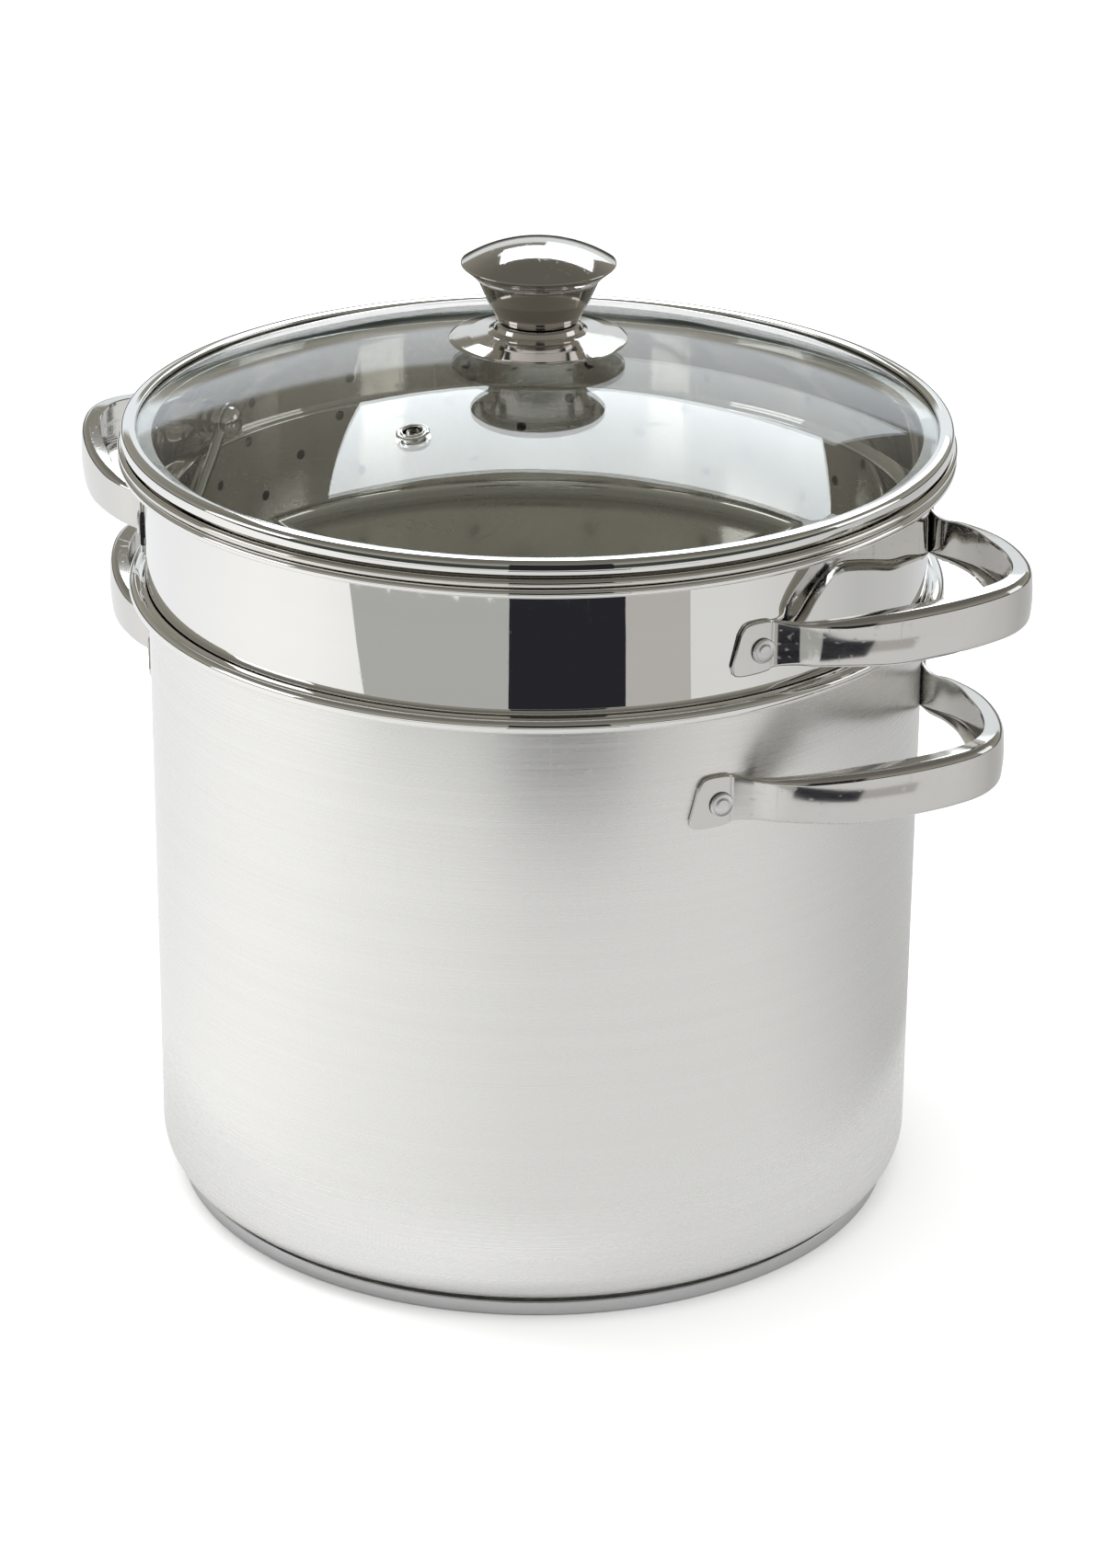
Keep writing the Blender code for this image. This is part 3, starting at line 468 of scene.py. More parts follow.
def make_base():
    top = POT_BOTTOM - GAP
    cap = [(0.0, 0.0006, 0), (BASE_RADIUS - 0.0006, 0.0006, 0), (BASE_RADIUS - 0.0006, top, 0)]
    cap += [(BASE_RADIUS - 0.0003, top, 0.0002), (BASE_RADIUS, top - 0.0003, 0.0004), (BASE_RADIUS, 0.0, 0.0012)]
    cap += [(BASE_RADIUS - 0.0120, 0.0, 0), (0.0, 0.0, 0)]
    base = lathe("base_disc", rounded(cap), BASE)
    fit(base, "pot", "base_steel", "base_cap")
    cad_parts["base_core"].data.materials.clear()
    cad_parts["base_core"].data.materials.append(ALUMINIUM)


# ---------------------------------------------------------------- strap handles and rivets

def strap_stations(wall):
    """Half a handle, from the tab's end to the middle of the grip.

    Each row holds the place out from the axis and along the wall, half the strap's height, the height of
    its middle, the depth of its folded edges, their thickness, the lean of the end and the crown.
    """
    face = wall + GAP + HANDLE_SHEET
    plain = HANDLE_SHEET + 0.00015
    end = RIVET_TURN + math.degrees(0.0094 / face)
    waist = RIVET_TURN - math.degrees(0.0050 / face)
    rows = []
    for share, half in ((0.0, 0.62), (0.05, 0.82), (0.12, 0.94), (0.30, 1.0), (0.62, 1.0), (0.84, 0.96), (1.0, 0.88)):
        angle = math.radians(end + (waist - end) * share)
        lean = 0.26 * (1 - share)
        rows.append((
            face * math.cos(angle), face * math.sin(angle), 0.0088 * half, 0.0011, plain, 0.0006, lean, 0.0))
    root = math.radians(25.4)
    root_u, root_w = wall * math.cos(root), wall * math.sin(root)
    reach = HANDLE_REACH - root_u
    for degree in (6, 14, 24, 36, 49, 62, 74, 83, 90):
        t = math.radians(degree)
        u = root_u + reach * math.sin(t)
        w = root_w * math.cos(t) * (1.0 - 0.33 * math.sin(t) ** 2) if degree < 90 else 0.0
        grown = min(1.0, (degree - 6) / 30.0)
        half = 0.0072 + 0.0017 * grown
        flange = plain + 0.0008 + (0.0065 - plain - 0.0008) * grown
        middle = -0.0016 * grown + 0.12 * (u - root_u)
        rows.append((u, w, half, middle, flange, HANDLE_SHEET, 0.0, grown))
    return rows


def smooth_rows(rows, parts):
    """The rows with more between them, on a curve through each."""
    found = []
    for i in range(len(rows) - 1):
        a, b = rows[max(i - 1, 0)], rows[i]
        c, d = rows[i + 1], rows[min(i + 2, len(rows) - 1)]
        for k in range(parts):
            t = k / parts
            found.append(tuple(
                0.5 * (2 * q + (r - p) * t + (2 * p - 5 * q + 4 * r - s) * t * t + (3 * q - p - 3 * r + s) * t ** 3)
                for p, q, r, s in zip(a, b, c, d)))
    return found + [rows[-1]]


def strap_ring(half, flange, lip, crown):
    """The C section as (depth, height): outer face with soft bends, folded edges, then the inside."""
    edge = min(0.0026, 0.6 * flange)
    inner = HANDLE_SHEET
    bend = max(edge - inner, 0.0002)
    ring = [(flange, half - 0.0003), (flange - 0.0003, half), (edge, half)]
    ring += [(edge - edge * math.sin(t), half - edge + edge * math.cos(t)) for t in (0.35, 0.7, 1.05, 1.35)]
    bow = 0.0004 * crown
    span = half - edge
    ring += [(-bow * (1 - (s / 4) ** 2), -span * s / 4) for s in (-4, -3, -1.5, 0, 1.5, 3, 4)]
    ring += [(edge - edge * math.sin(t), -half + edge - edge * math.cos(t)) for t in (1.35, 1.05, 0.7, 0.35)]
    ring += [(edge, -half), (flange - 0.0003, -half), (flange, 0.0003 - half), (flange, lip - half)]
    ring += [(inner + bend, lip - half), (inner + bend * 0.3, lip - half + bend * 0.3), (inner, lip - half + bend)]
    ring += [(inner, 0.0), (inner, half - lip - bend), (inner + bend * 0.3, half - lip - bend * 0.3)]
    ring += [(inner + bend, half - lip), (flange, half - lip)]
    return ring


def make_handle(name, body, wall, turn, height, cad_node):
    half_rows = smooth_rows(strap_stations(wall), 6)
    rows = [(row, 1.0) for row in half_rows] + [(row, -1.0) for row in reversed(half_rows[:-1])]
    sections = [strap_ring(row[2], row[4], row[5], row[7]) for row, _ in rows]
    across, down = len(sections[0]) + 1, len(rows)
    points = [Vector((row[0], row[1] * side)) for row, side in rows]
    shape = bmesh.new()
    bmesh.ops.create_grid(shape, x_segments=across - 1, y_segments=down - 1, size=1.0)
    shape.verts.ensure_lookup_table()
    for j, (row, side) in enumerate(rows):
        middle, lean = row[3], row[6]
        step = (points[min(j + 1, down - 1)] - points[max(j - 1, 0)]).normalized()
        normal = Vector((step.y, -step.x))
        for i in range(across):
            depth, rise = sections[j][i % (across - 1)]
            place = points[j] + normal * depth + step * (lean * rise * side)
            shape.verts[j * across + i].co = (place.x, place.y, middle + rise)
    bmesh.ops.remove_doubles(shape, verts=shape.verts, dist=WELD)
    bmesh.ops.holes_fill(shape, edges=[edge for edge in shape.edges if edge.is_boundary], sides=0)
    matrix = Matrix.Translation((0, 0, height)) @ Matrix.Rotation(math.radians(turn), 4, "Z")
    bmesh.ops.transform(shape, matrix=matrix, verts=shape.verts)
    bmesh.ops.recalc_face_normals(shape, faces=shape.faces)
    handle = finish_mesh(shape, name, GRIP, 40.0)
    holes = wall_places(wall, height, (turn - RIVET_TURN, turn + RIVET_TURN))
    carve(handle, drills(holes, RIVET_HOLE, RIVET_DRILL))
    even_normals(handle)
    fit(handle, body, "polished_steel", cad_node)


def make_rivet(name, body, face, back, angle, height):
    depth = back - face
    corners = [(0.0, 0.0012, 0), (0.0020, 0.0012, 0.0004), (0.0025, 0.0006, 0.0003), (0.0031, 0.0007, 0.0004)]
    corners += [(0.0038, 0.0011, 0.0005), (0.0041, 0.0004, 0.0004), (0.0041, 0.0, 0), (0.0022, 0.0, 0)]
    corners += [(0.0022, depth, 0), (0.0045, depth, 0.0001), (0.0040, depth - 0.0009, 0.0006)]
    corners += [(0.0020, depth - 0.0012, 0.0005), (0.0, depth - 0.0012, 0)]
    matrix = Matrix.Translation(outward(angle) * face + Vector((0, 0, height))) @ along(outward(angle))
    rivet = lathe(name, rounded(corners, 4), ALUMINIUM, steps=40, matrix=matrix, sharp=50.0)
    fit(rivet, body, "aluminium", name.replace("_stud_", "_rivet_"))


def make_handles():
    sets = (("pot", POT_RADIUS, POT_RIVET_HEIGHT, 0.0), ("basket", BASKET_RADIUS, BASKET_RIVET_HEIGHT, BASKET_TURN))
    for body, wall, height, turn in sets:
        for side, extra in (("right", 0.0), ("left", 180.0)):
            make_handle(f"{body}_strap_{side}", body, wall, turn + extra, height, f"{body}_handle_{side}")
        face = wall + 2 * GAP + HANDLE_SHEET
        back = (wall - SHEET) * WALL_FLAT - GAP
        for corner, angle in zip(("right_front", "right_rear", "left_rear", "left_front"), rivet_turns(turn)):
            make_rivet(f"{body}_stud_{corner}", body, face, back, angle, height)


# ---------------------------------------------------------------- baskets

def basket_section(band, body, rim_top, curl, step_top, shoulder, corner, bottom):
    """A basket's outline: floor, body, the step out to its wider band, and the rolled rim."""
    hollow = shoulder * 0.7
    ledge = step_top - shoulder
    flare = 0.0025
    profile = [(0.0, bottom + SHEET), (0.06, bottom + SHEET)]
    profile += arc(body - corner, bottom + corner, corner - SHEET, -90, 0, 12)
    profile += arc(body + hollow, ledge - hollow, hollow + SHEET, 180, 90, 6)
    profile += arc(band - shoulder, step_top, shoulder - SHEET, -90, 0, 6)
    profile += rolled_rim(band - SHEET, RIM_RADIUS - curl, rim_top, flare, curl)
    profile += arc(band - shoulder, step_top, shoulder, 0, -90, 8)
    profile += arc(body + hollow, ledge - hollow, hollow, 90, 180, 5)
    profile += arc(body - corner, bottom + corner, corner, 0, -90, 12)
    profile += [(0.06, bottom), (0.0, bottom)]
    return profile


def wall_row(radius, height, count, turn):
    return wall_places(radius, height, [turn + 360.0 * i / count for i in range(count)])


def floor_rings(rings, height, turn):
    up = Vector((0, 0, 1))
    places = []
    for radius, count in rings:
        for place, _ in wall_places(radius, height, [turn + 360.0 * (i + 0.5) / count for i in range(count)]):
            places.append((place, up))
    return places


def make_canning_basket():
    bottom = POT_FLOOR + 0.0197
    inner = POT_RADIUS - SHEET
    # The step's outer bend rests on the bend of the pot's rim.
    reach = POT_FLARE + BASKET_SHOULDER + GAP
    across = inner + POT_FLARE - (BASKET_RADIUS - BASKET_SHOULDER)
    step_top = POT_RIM_TOP - POT_FLARE + math.sqrt(reach ** 2 - across ** 2)
    profile = basket_section(
        BASKET_RADIUS, BASKET_BODY, BASKET_RIM_TOP, curl=0.0016, step_top=step_top, shoulder=BASKET_SHOULDER,
        corner=0.0120, bottom=bottom)
    basket = lathe("canning_basket_shell", profile, MIRROR)
    places = []
    for row in range(3):
        places += wall_row(BASKET_BODY, bottom + 0.030 + 0.040 * row, 12, BASKET_TURN + 15.0 * (row % 2))
    places += floor_rings(((0.0, 1), (0.035, 4), (0.070, 8)), bottom, BASKET_TURN)
    carve(basket, drills(places, 0.0025, 0.010))
    holes = wall_places(BASKET_RADIUS, BASKET_RIVET_HEIGHT, rivet_turns(BASKET_TURN))
    carve(basket, drills(holes, RIVET_HOLE, RIVET_DRILL))
    even_normals(basket)
    fit(basket, "basket", "polished_steel", "canning_basket")


def make_steamer():
    bottom = STEAMER_RIM_TOP - STEAMER_DEPTH
    profile = basket_section(
        STEAMER_RADIUS, STEAMER_BODY, STEAMER_RIM_TOP, curl=0.00145, step_top=STEAMER_RIM_TOP - STEAMER_STEP,
        shoulder=0.0010, corner=0.0065, bottom=bottom)
    steamer = lathe("steamer_shell", profile, INSIDE)
    places = []
    for drop, turn in zip((0.0173, 0.0291, 0.0402, 0.0512), (36.6, 39.6, 47.6, 35.6)):
        wall = STEAMER_RADIUS if drop < STEAMER_STEP else STEAMER_BODY
        places += wall_row(wall, STEAMER_RIM_TOP - drop, 18, turn)
    places += floor_rings(((0.0, 1), (0.024, 6), (0.048, 9)), bottom, 0.0)
    carve(steamer, drills(places, 0.0018, 0.006))
    pivots = wall_places(STEAMER_RADIUS, PIVOT_HEIGHT, (BASKET_TURN, BASKET_TURN + 180.0))
    carve(steamer, drills(pivots, RIVET_HOLE, 0.006))
    # The upper side of the floor has turned rings, and the rest is mirror sheet.
    steamer.data.materials.append(FLOOR)
    for face in steamer.data.polygons:
        if face.center.z < bottom + 0.0012 and face.normal.z > 0.6:
            face.material_index = 1
    even_normals(steamer)
    fit(steamer, "steamer", "polished_steel", "steamer_basket")


# ---------------------------------------------------------------- bail

def make_bail():
    washer = (STEAMER_RADIUS - SHEET) * WALL_FLAT - GAP
    eye = washer - WASHER_THICKNESS - GAP
    half_eye = EYE_THICKNESS / 2
    head_foot = eye - EYE_THICKNESS - GAP
    head_radius, head_height = 0.0057, 0.0038
    middle = eye - half_eye
    floor = STEAMER_RIM_TOP - STEAMER_DEPTH + SHEET
    # The wire lies folded down, with the middle of its bow on the floor.
    fold = math.asin((PIVOT_HEIGHT - floor - WIRE_RADIUS - GAP) / BAIL_LENGTH)
    place = (Matrix.Translation((0, 0, PIVOT_HEIGHT)) @ Matrix.Rotation(math.radians(BASKET_TURN), 4, "Z")
             @ Matrix.Rotation(fold, 4, "X"))
    body = STEAMER_BODY - SHEET - 0.0024 - WIRE_RADIUS
    curve = bpy.data.curves.new("bail_line", "CURVE")
    curve.dimensions = "3D"
    curve.bevel_depth = WIRE_RADIUS
    curve.bevel_resolution = 5
    curve.use_fill_caps = True
    count = 110
    line = curve.splines.new("POLY")
    line.points.add(count)
    start = math.degrees(math.asin((head_radius + GAP) / BAIL_LENGTH))
    for i in range(count + 1):
        turn = start + (180.0 - 2 * start) * i / count
        near = min(turn, 180.0 - turn)
        half = body + (middle - body) * math.exp(-((near / 7.0) ** 2))
        angle = math.radians(turn)
        line.points[i].co = (half * math.cos(angle), -BAIL_LENGTH * math.sin(angle), 0.0, 1.0)
    path = bpy.data.objects.new("bail_line", curve)
    bpy.context.scene.collection.objects.link(path)
    bpy.context.view_layer.update()
    shape = bmesh.new()
    shape.from_mesh(bpy.data.meshes.new_from_object(path.evaluated_get(bpy.context.evaluated_depsgraph_get())))
    bpy.data.objects.remove(path, do_unlink=True)
    bmesh.ops.remove_doubles(shape, verts=shape.verts, dist=0.000001)
    bmesh.ops.transform(shape, matrix=place, verts=shape.verts)
    bmesh.ops.recalc_face_normals(shape, faces=shape.faces)
    bail = finish_mesh(shape, "bail_wire", INSIDE)
    for sign in (1.0, -1.0):
        ring = [(RIVET_HOLE, -half_eye, 0), (0.0068, -half_eye, 0.0005), (0.0068, half_eye, 0.0005)]
        ring += [(RIVET_HOLE, half_eye, 0)]
        where = place @ Matrix.Translation((sign * middle, 0, 0)) @ along(Vector((1, 0, 0)))
        carve(bail, lathe("eye", rounded(ring, 4), None, closed=True, steps=40, matrix=where), "UNION")
    if not bail.data.materials:
        bail.data.materials.append(INSIDE)
    fit(bail, "bail", "polished_steel", "steamer_bail")
    for side, angle in (("right", BASKET_TURN), ("left", BASKET_TURN + 180.0)):
        inwards = along(-outward(angle))
        height = Vector((0, 0, PIVOT_HEIGHT))
        ring = [(RIVET_HOLE, WASHER_THICKNESS, 0), (RIVET_HOLE, 0.0, 0), (0.0050, 0.0, 0.0004)]
        ring += [(0.0050, WASHER_THICKNESS, 0.0004), (RIVET_HOLE, WASHER_THICKNESS, 0)]
        disc = lathe(
            f"pivot_collar_{side}", rounded(ring, 4)[:-1], INSIDE, closed=True, steps=40,
            matrix=Matrix.Translation(outward(angle) * washer + height) @ inwards)
        fit(disc, "steamer", "polished_steel", f"bail_washer_{side}")
        tail = head_foot - STEAMER_RADIUS - GAP
        head = [(0.0, head_height), (0.0009, head_height)]
        for degree in (18, 32, 45, 58, 70, 80):
            bend = math.radians(degree)
            head.append((head_radius * math.sin(bend), head_height * math.cos(bend)))
        head += [(head_radius, 0.0002), (0.0056, 0.0), (0.0022, 0.0), (0.0022, tail), (0.0042, tail)]
        head += [(0.0040, tail - 0.0006), (0.0030, tail - 0.0010), (0.0, tail - 0.0010)]
        stud = lathe(
            f"pivot_dome_{side}", head, INSIDE, steps=48,
            matrix=Matrix.Translation(outward(angle) * head_foot + height) @ inwards, sharp=50.0)
        fit(stud, "steamer", "polished_steel", f"bail_rivet_{side}")


# ---------------------------------------------------------------- lid

def dome(radius, drop=0.0):
    """The height of the glass at a radius, on its outer side or that much under it."""
    sphere = GLASS_SPHERE - drop
    return GLASS_TOP - GLASS_SPHERE + math.sqrt(sphere ** 2 - radius ** 2)


def vent_matrix():
    place = outward(VENT_TURN) * VENT_RADIUS
    slope = VENT_RADIUS / GLASS_SPHERE
    normal = outward(VENT_TURN) * slope + Vector((0, 0, math.sqrt(1 - slope ** 2)))
    place.z = dome(VENT_RADIUS)
    return Matrix.Translation(place) @ along(normal)


def make_glass():
    edge, bore, steps = PANE_RADIUS - 0.0008, 0.0036, 44
    radii = [bore + (edge - bore) * i / steps for i in range(steps + 1)]
    profile = [(r, dome(r)) for r in radii]
    low = dome(edge, GLASS_THICKNESS)
    profile += [(PANE_RADIUS - 0.0002, dome(edge) - 0.0004), (PANE_RADIUS, dome(edge) - 0.0009)]
    profile += [(PANE_RADIUS, low + 0.0009), (PANE_RADIUS - 0.0002, low + 0.0004)]
    profile += [(r, dome(r, GLASS_THICKNESS)) for r in reversed(radii)]
    pane = lathe("lid_pane", profile, GLASS, closed=True)
    vent = vent_matrix()
    carve(pane, drills([(vent.translation, vent.to_3x3() @ Vector((0, 0, 1)))], 0.0040, 0.020, 32))
    even_normals(pane)
    fit(pane, "lid", "glass", "lid_glass")


def make_band():
    lip = PANE_RADIUS - 0.0008
    outer = GLASS_RADIUS + 0.0058
    low = LID_SEAT + 0.0006
    high = low + 0.0036
    groove = PANE_RADIUS + GAP
    lip_low = dome(lip) + GAP
    over = dome(PANE_RADIUS) + GAP
    skirt = STEAMER_RADIUS - SHEET - 0.0005
    skirt_low = STEAMER_RIM_TOP - 0.0036
    corners = [(lip, lip_low + 0.0002, 0), (lip + 0.0002, lip_low + 0.0010, 0.0006)]
    corners += [(groove + 0.0010, lip_low + 0.0014, 0.0016), (outer - 0.0004, high + 0.0008, 0.0022)]
    corners += [(outer, high - 0.0018, 0.0020), (outer - 0.0002, low, 0.0008), (groove + 0.0012, low, 0.0004)]
    corners += [(groove + 0.0008, LID_SEAT, 0.0003), (STEAMER_RADIUS + 0.0017, LID_SEAT, 0.0004)]
    corners += [(skirt + 0.0008, STEAMER_RIM_TOP - 0.0008, 0.0006), (skirt, skirt_low + 0.0003, 0.0002)]
    corners += [(skirt - 0.0006, skirt_low, 0.0001), (skirt - 0.0006, skirt_low + 0.0012, 0.0006)]
    corners += [(skirt + 0.0004, STEAMER_RIM_TOP + 0.0002, 0.0004), (lip, LID_SEAT + 0.0006, 0.0002)]
    corners += [(groove, LID_SEAT + 0.0006, 0), (groove, over, 0), (lip, lip_low, 0)]
    band = lathe("lid_rim", rounded(corners, 5), MIRROR, closed=True)
    fit(band, "lid", "polished_steel", "lid_band")


def make_vent():
    depth = GLASS_THICKNESS + GAP
    corners = [(0.0030, -depth - 0.0009, 0), (0.0030, 0.0011, 0.0006), (0.0037, 0.0017, 0.0006)]
    corners += [(0.0041, 0.0009, 0.0003), (0.0047, 0.0012, 0.0004), (0.0054, 0.0009, 0.0004), (0.0054, GAP, 0.0002)]
    corners += [(0.0037, GAP, 0), (0.0037, -depth, 0), (0.0054, -depth, 0), (0.0054, -depth - 0.0005, 0.0002)]
    corners += [(0.0037, -depth - 0.0009, 0.0003)]
    profile = rounded(corners + [corners[0]], 4)[:-1]
    vent = lathe("vent_ferrule", profile, MIRROR, closed=True, steps=48, matrix=vent_matrix())
    fit(vent, "lid", "polished_steel", "vent_eyelet")


def make_knob():
    foot = GLASS_TOP + GAP + 0.0008 + GAP
    rim_low = foot + 0.0015
    rim_high = rim_low + 0.0018
    hub = rim_high + 0.0046
    bore = 0.0028
    flange = [(bore, hub, 0), (0.0132, hub, 0.0002), (0.0140, hub - 0.0006, 0.0004)]
    flange += [(0.0147, rim_high + 0.0024, 0.0010), (0.0165, rim_high + 0.0014, 0.0026)]
    flange += [(0.0230, rim_high + 0.0006, 0.0050), (0.0284, rim_high - 0.0005, 0.0030)]
    flange += [(0.0298, rim_low + 0.0007, 0.0006), (0.0282, rim_low, 0.0008)]
    flange += [(0.0140, rim_low + 0.0002, 0.0010), (0.0110, foot, 0.0006), (bore, foot, 0)]
    fit(lathe("knob_plate", rounded(flange, 8), KNOB, closed=True, steps=128), "lid", "polished_steel", "knob_flange")
    low = hub + GAP
    high = low + 0.0158
    grip = low + 0.0070
    body = [(0.0, high, 0), (0.0208, high, 0.0003), (0.0209, high - 0.0007, 0.0004), (0.0200, high - 0.0016, 0.0006)]
    body += [(0.0172, (low + high) / 2, 0.0090), (0.0139, low + 0.0018, 0.0016), (0.0134, low + 0.0005, 0.0005)]
    body += [(0.0126, low, 0.0003), (bore, low, 0), (bore, grip + GAP, 0), (0.0, grip + GAP, 0)]
    fit(lathe("knob_stem", rounded(body, 8), KNOB, steps=128), "lid", "polished_steel", "knob_body")
    cap_low = high + GAP
    edge = cap_low + 0.0036
    crown, crown_radius, steps = 0.0070, 0.0251, 20
    sphere = (crown_radius ** 2 + crown ** 2) / (2 * crown)
    radii = [crown_radius * i / steps for i in range(steps + 1)]
    cap = [(r, edge + 0.0003 + crown - sphere + math.sqrt(sphere ** 2 - r ** 2)) for r in radii]
    cap += [(0.0254, edge + 0.0001), (0.0255, edge - 0.0002), (0.0253, edge - 0.0006), (0.0236, cap_low + 0.0016)]
    cap += [(0.0222, cap_low + 0.0003), (0.0216, cap_low), (0.0, cap_low)]
    fit(lathe("knob_top", cap, KNOB, steps=128), "lid", "polished_steel", "knob_cap")
    for name, finish in (("knob_seal", SILICONE), ("knob_screw", KNOB), ("screw_washer", KNOB)):
        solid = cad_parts[name]
        solid.data.materials.clear()
        solid.data.materials.append(finish)


# ---------------------------------------------------------------- studio

def glow(name, colour, strength):
    made, tree, shader = new_material(name)
    tree.nodes.remove(shader)
    light = node(tree, "ShaderNodeEmission", in_Color=(*colour, 1.0), in_Strength=strength)
    wire(tree, light.outputs["Emission"], tree.nodes["Material Output"].inputs["Surface"])
    return made


def card(name, corners, colour, strength, through=True):
    """A flat studio card that only reflections see; corners are in the room's directions."""
    shape = bmesh.new()
    shape.faces.new([shape.verts.new(ROOM @ Vector(corner)) for corner in corners])
    obj = new_object(shape, name)
    obj.data.materials.append(glow(name, colour, strength))
    obj.visible_camera = False
    obj.visible_diffuse = False
    obj.visible_shadow = False
    obj.visible_transmission = through


def ring_card():
    """A painted reflection of the table for the steel: painted light makes it brighter on the left, and painted shade
    makes it greyer on the right.
    """
    start, end, height = 0.19, 3.2, 0.0008
    shape = bmesh.new()
    inner = shape.verts.new((start, 0, height))
    outer = shape.verts.new((end, 0, height))
    spin(shape, [inner, outer, shape.edges.new((inner, outer))], 72)
    obj = new_object(shape, "table_sheen")
    obj.matrix_world = ROOM
    made = glow("table_sheen", (1, 1, 1), 1.0)
    tree = made.node_tree
    place = node(tree, "ShaderNodeTexCoord")
    radial = node(tree, "ShaderNodeTexGradient", gradient_type="RADIAL")
    wire(tree, place.outputs["Object"], radial.inputs["Vector"])
    ramp = node(tree, "ShaderNodeValToRGB")
    # Painted light and shade round the pot: bright where the table is lit on the left, darker grey where it lies in
    # shade on the right.
    stops = ((0.0, 0.98), (0.028, 1.0), (0.078, 0.98), (0.128, 0.90), (0.189, 0.82), (0.25, 0.73), (0.333, 0.72),
             (0.406, 0.72), (0.472, 0.61), (0.525, 0.52), (0.589, 0.56), (0.65, 0.66), (0.75, 0.88), (0.828, 0.92),
             (0.917, 0.92), (1.0, 0.98))
    elements = ramp.color_ramp.elements
    elements[0].position, elements[1].position = 0.0, 1.0
    for index, (at, level) in enumerate(stops):
        stop = elements[0] if index == 0 else elements[-1] if index == len(stops) - 1 else elements.new(at)
        cool = 0.99 if 0.62 < at < 0.93 else 1.0
        stop.color = (level * cool, level * 0.998, level * (1.01 if cool < 1 else 0.985), 1.0)
    wire(tree, radial.outputs["Fac"], ramp.inputs["Fac"])
    emission = next(n for n in tree.nodes if n.type == "EMISSION")
    wire(tree, ramp.outputs["Color"], emission.inputs["Color"])
    obj.data.materials.append(made)
    obj.visible_camera = obj.visible_diffuse = obj.visible_shadow = obj.visible_transmission = False


def wedge(near, far, start, end, height, rough=0.0):
    """An outline on the table, between two distances and two directions, with worn edges.

    The directions are in degrees, clockwise from straight away from the camera.
    """
    corners, steps = [], 26
    slant = 600.0 * rough
    for reach, turns in ((far, (start + slant, end)), (near, (end, start - slant))):
        for i in range(steps + 1):
            turn = math.radians(turns[0] + (turns[1] - turns[0]) * i / steps)
            wear = rough * (math.sin(5.1 * i) + 0.7 * math.sin(2.3 * i + 1.0))
            corners.append(((reach + wear) * math.sin(turn), (reach + wear) * math.cos(turn), height))
    return corners


def make_room():
    shape = bmesh.new()
    bmesh.ops.create_circle(shape, cap_ends=True, cap_tris=False, segments=96, radius=14.0)
    floor = finish_mesh(shape, "table", None)
    pale, _, shader = new_material("pale table")
    shader.inputs["Base Color"].default_value = (0.86, 0.86, 0.86, 1.0)
    shader.inputs["Roughness"].default_value = 0.9
    shader.inputs["Specular IOR Level"].default_value = 0.0
    floor.data.materials.append(pale)
    floor.visible_glossy = False
    shape = bmesh.new()
    bmesh.ops.create_circle(
        shape, cap_ends=True, cap_tris=False, segments=64, radius=0.21, matrix=Matrix.Translation((0, 0, 0.0002)))
    shaded = pale.copy()
    shaded.name = "shaded table"
    shaded.node_tree.nodes["Principled BSDF"].inputs["Base Color"].default_value = (0.58, 0.58, 0.58, 1.0)
    near = finish_mesh(shape, "near_table", shaded)
    near.visible_camera = near.visible_diffuse = near.visible_shadow = False
    ring_card()
    card("front_flag", wedge(0.560, 0.815, -173.2, -203.4, 0.0016), (0.02, 0.02, 0.026), 1.0, False)
    card("front_left_grey", wedge(0.610, 0.790, -133.0, -173.2, 0.0014, 0.006), (0.43, 0.435, 0.415), 1.0, False)
    card("front_right_grey", wedge(0.600, 0.800, 156.6, 139.0, 0.0014), (0.47, 0.455, 0.435), 1.0, False)
    daylight = (0.92, 0.97, 1.0)
    card("tall_flag", ((-0.20, -1.7, 0.0), (0.60, -1.7, 0.0), (0.60, -1.7, 0.95), (-0.20, -1.7, 0.95)),
         (0.02, 0.02, 0.022), 1.0, False)
    card("overhead_box", ((-0.46, 0.95, 1.42), (0.66, 0.95, 1.42), (0.74, 2.0, 1.42), (-0.46, 2.0, 1.42)),
         daylight, 4.0)
    card("far_sheet", ((0.07, 1.98, 1.00), (0.78, 1.98, 0.93), (0.78, 1.98, 1.43), (0.07, 1.98, 1.43)),
         daylight, 1.5)
    card("left_box", ((-1.5, -0.7, 0.30), (-1.5, 0.1, 0.30), (-1.5, 0.1, 0.95), (-1.5, -0.7, 0.95)),
         (1.0, 1.0, 1.0), 1.6)
    card("right_box", ((1.5, -0.2, 0.25), (1.5, 0.5, 0.25), (1.5, 0.5, 1.0), (1.5, -0.2, 1.0)),
         (1.0, 0.99, 0.97), 1.2)


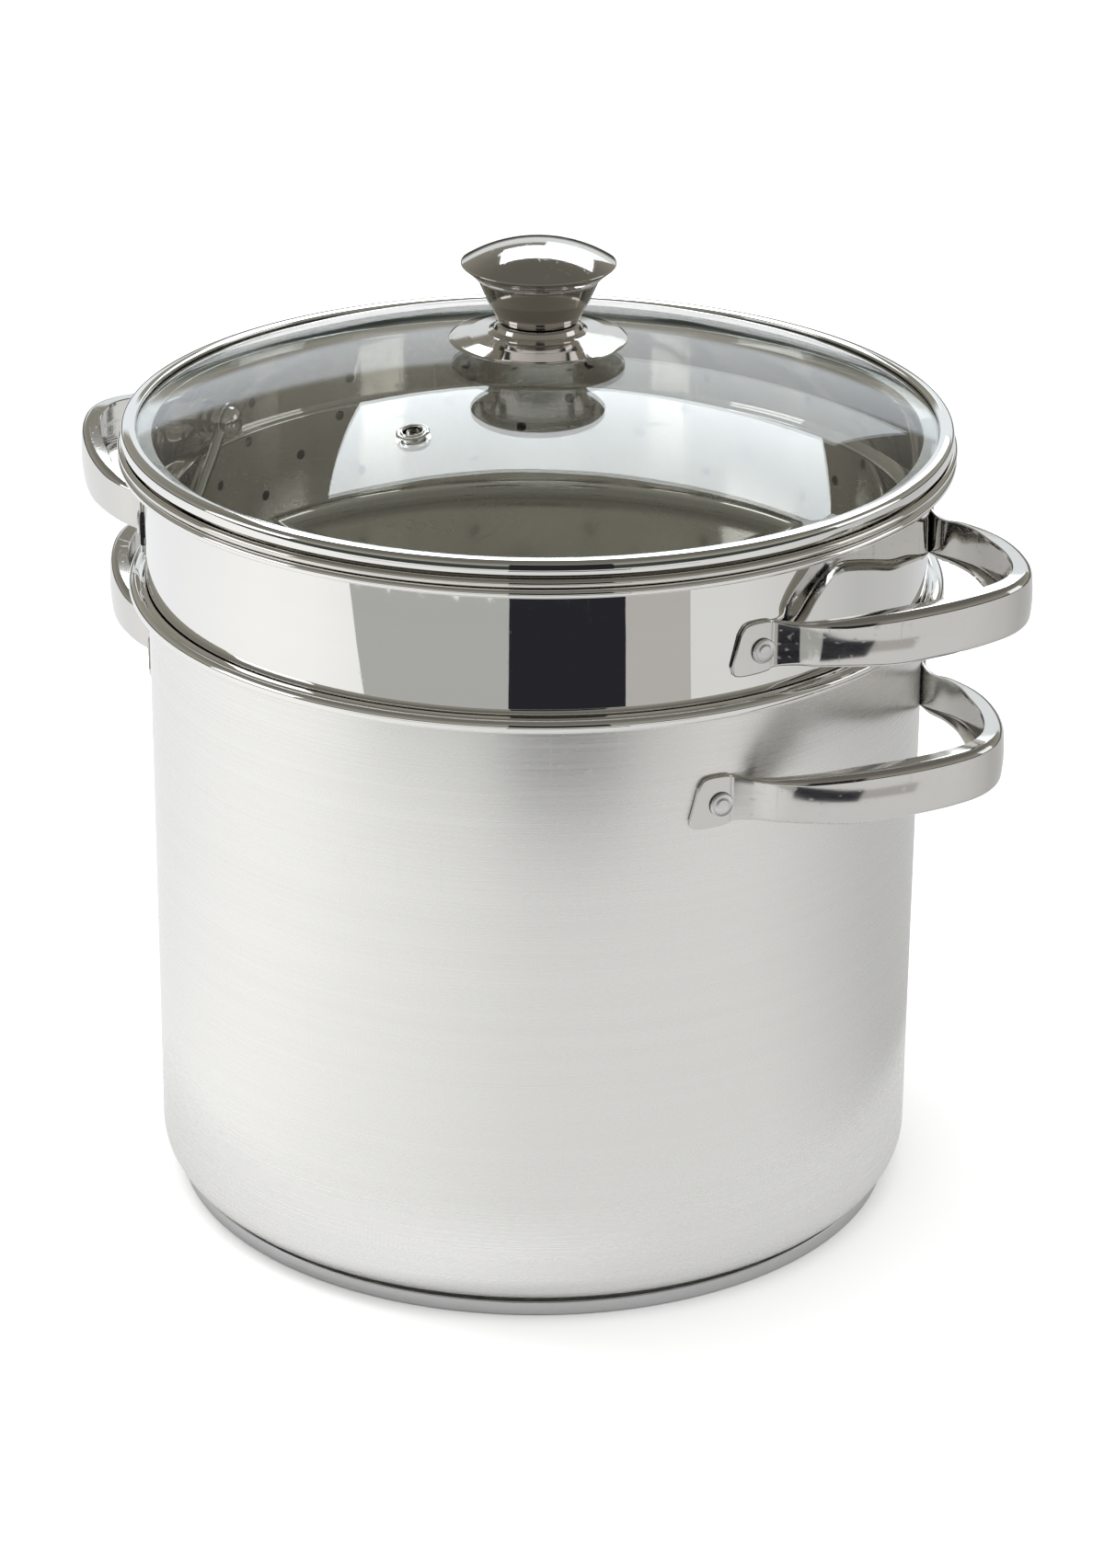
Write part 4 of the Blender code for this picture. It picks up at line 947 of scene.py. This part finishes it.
def make_world():
    """White to the camera, even for diffuse light, and a dim room with a pale far wall for reflections."""
    world = bpy.data.worlds.new("studio")
    bpy.context.scene.world = world
    world.use_nodes = True
    tree = world.node_tree
    tree.nodes.clear()
    out = node(tree, "ShaderNodeOutputWorld")
    back = node(tree, "ShaderNodeBackground", in_Strength=1.0)
    wire(tree, back.outputs["Background"], out.inputs["Surface"])
    place = node(tree, "ShaderNodeTexCoord")
    turn = node(tree, "ShaderNodeVectorRotate", rotation_type="Z_AXIS")
    turn.inputs["Angle"].default_value = -ROOM_TURN
    wire(tree, place.outputs["Generated"], turn.inputs["Vector"])
    parts = node(tree, "ShaderNodeSeparateXYZ")
    wire(tree, turn.outputs["Vector"], parts.inputs["Vector"])

    def ramp(source, low, high, first=0.0, last=1.0):
        made = node(tree, "ShaderNodeMapRange", interpolation_type="SMOOTHSTEP", in_From_Min=low, in_From_Max=high,
                    in_To_Min=first, in_To_Max=last)
        wire(tree, source, made.inputs["Value"])
        return made.outputs["Result"]

    def times(a, b):
        made = node(tree, "ShaderNodeMath", operation="MULTIPLY")
        wire(tree, a, made.inputs[0])
        wire(tree, b, made.inputs[1])
        return made.outputs["Value"]

    def mixed(factor, a, b):
        made = node(tree, "ShaderNodeMix", data_type="RGBA")
        wire(tree, factor, made.inputs["Factor"])
        for value, name in ((a, "A"), (b, "B")):
            if isinstance(value, tuple):
                made.inputs[name].default_value = (*value, 1.0)
            else:
                wire(tree, value, made.inputs[name])
        return made.outputs["Result"]

    ceiling = mixed(ramp(parts.outputs["Z"], 0.1, 0.9), (0.34, 0.325, 0.28), (0.15, 0.145, 0.125))
    above = mixed(ramp(parts.outputs["Z"], 0.02, 0.10), (0.045, 0.055, 0.05), ceiling)
    lowered = node(tree, "ShaderNodeMath", operation="MULTIPLY_ADD")
    wire(tree, parts.outputs["X"], lowered.inputs[0])
    wire(tree, parts.outputs["X"], lowered.inputs[1])
    wire(tree, parts.outputs["Z"], lowered.inputs[2])
    wall = times(ramp(parts.outputs["Y"], 0.25, 0.55), ramp(lowered.outputs["Value"], 0.350, 0.385, 1.0, 0.0))
    wall = times(wall, ramp(parts.outputs["Z"], 0.11, 0.16))
    seen = mixed(wall, above, (0.86, 0.90, 0.93))
    path = node(tree, "ShaderNodeLightPath")
    lit = mixed(path.outputs["Is Diffuse Ray"], seen, (1.52, 1.52, 1.52))
    shown = mixed(path.outputs["Is Camera Ray"], lit, (1.0, 1.0, 1.0))
    wire(tree, shown, back.inputs["Color"])


def make_light(name, place, aim, size, power):
    data = bpy.data.lights.new(name, "AREA")
    data.shape = "DISK"
    data.size = size
    data.energy = power
    lamp = bpy.data.objects.new(name, data)
    bpy.context.scene.collection.objects.link(lamp)
    where, target = ROOM @ Vector(place), ROOM @ Vector(aim)
    lamp.matrix_world = Matrix.Translation(where) @ (where - target).to_track_quat("Z", "Y").to_matrix().to_4x4()
    lamp.visible_glossy = False
    lamp.visible_transmission = False


def make_camera():
    data = bpy.data.cameras.new("camera")
    data.sensor_fit = "VERTICAL"
    data.sensor_height = 36.0
    data.sensor_width = 36.0
    data.lens = 103.05
    camera = bpy.data.objects.new("camera", data)
    bpy.context.scene.collection.objects.link(camera)
    pitch, roll = math.radians(23.43), math.radians(0.46)
    ahead = Vector((0, math.cos(pitch), -math.sin(pitch)))
    right, up = Vector((1, 0, 0)), Vector((0, math.sin(pitch), math.cos(pitch)))
    tilted_right = right * math.cos(roll) + up * math.sin(roll)
    tilted_up = up * math.cos(roll) - right * math.sin(roll)
    turn = Matrix((tilted_right, tilted_up, -ahead)).transposed().to_4x4()
    camera.matrix_world = ROOM @ Matrix.Translation((0.0057, -1.4110, 0.7488)) @ turn
    bpy.context.scene.camera = camera


make_camera()
make_room()
make_world()
make_light("key", (-1.5, 0.9, 2.2), (0, 0, 0), 1.3, 31.0)
make_light("fill", (1.2, -1.0, 1.8), (0, 0, 0.1), 1.2, 8.0)
bpy.context.scene.view_settings.view_transform = "Standard"
make_pot()
make_base()
make_handles()
make_canning_basket()
make_steamer()
make_bail()
make_glass()
make_band()
make_vent()
make_knob()
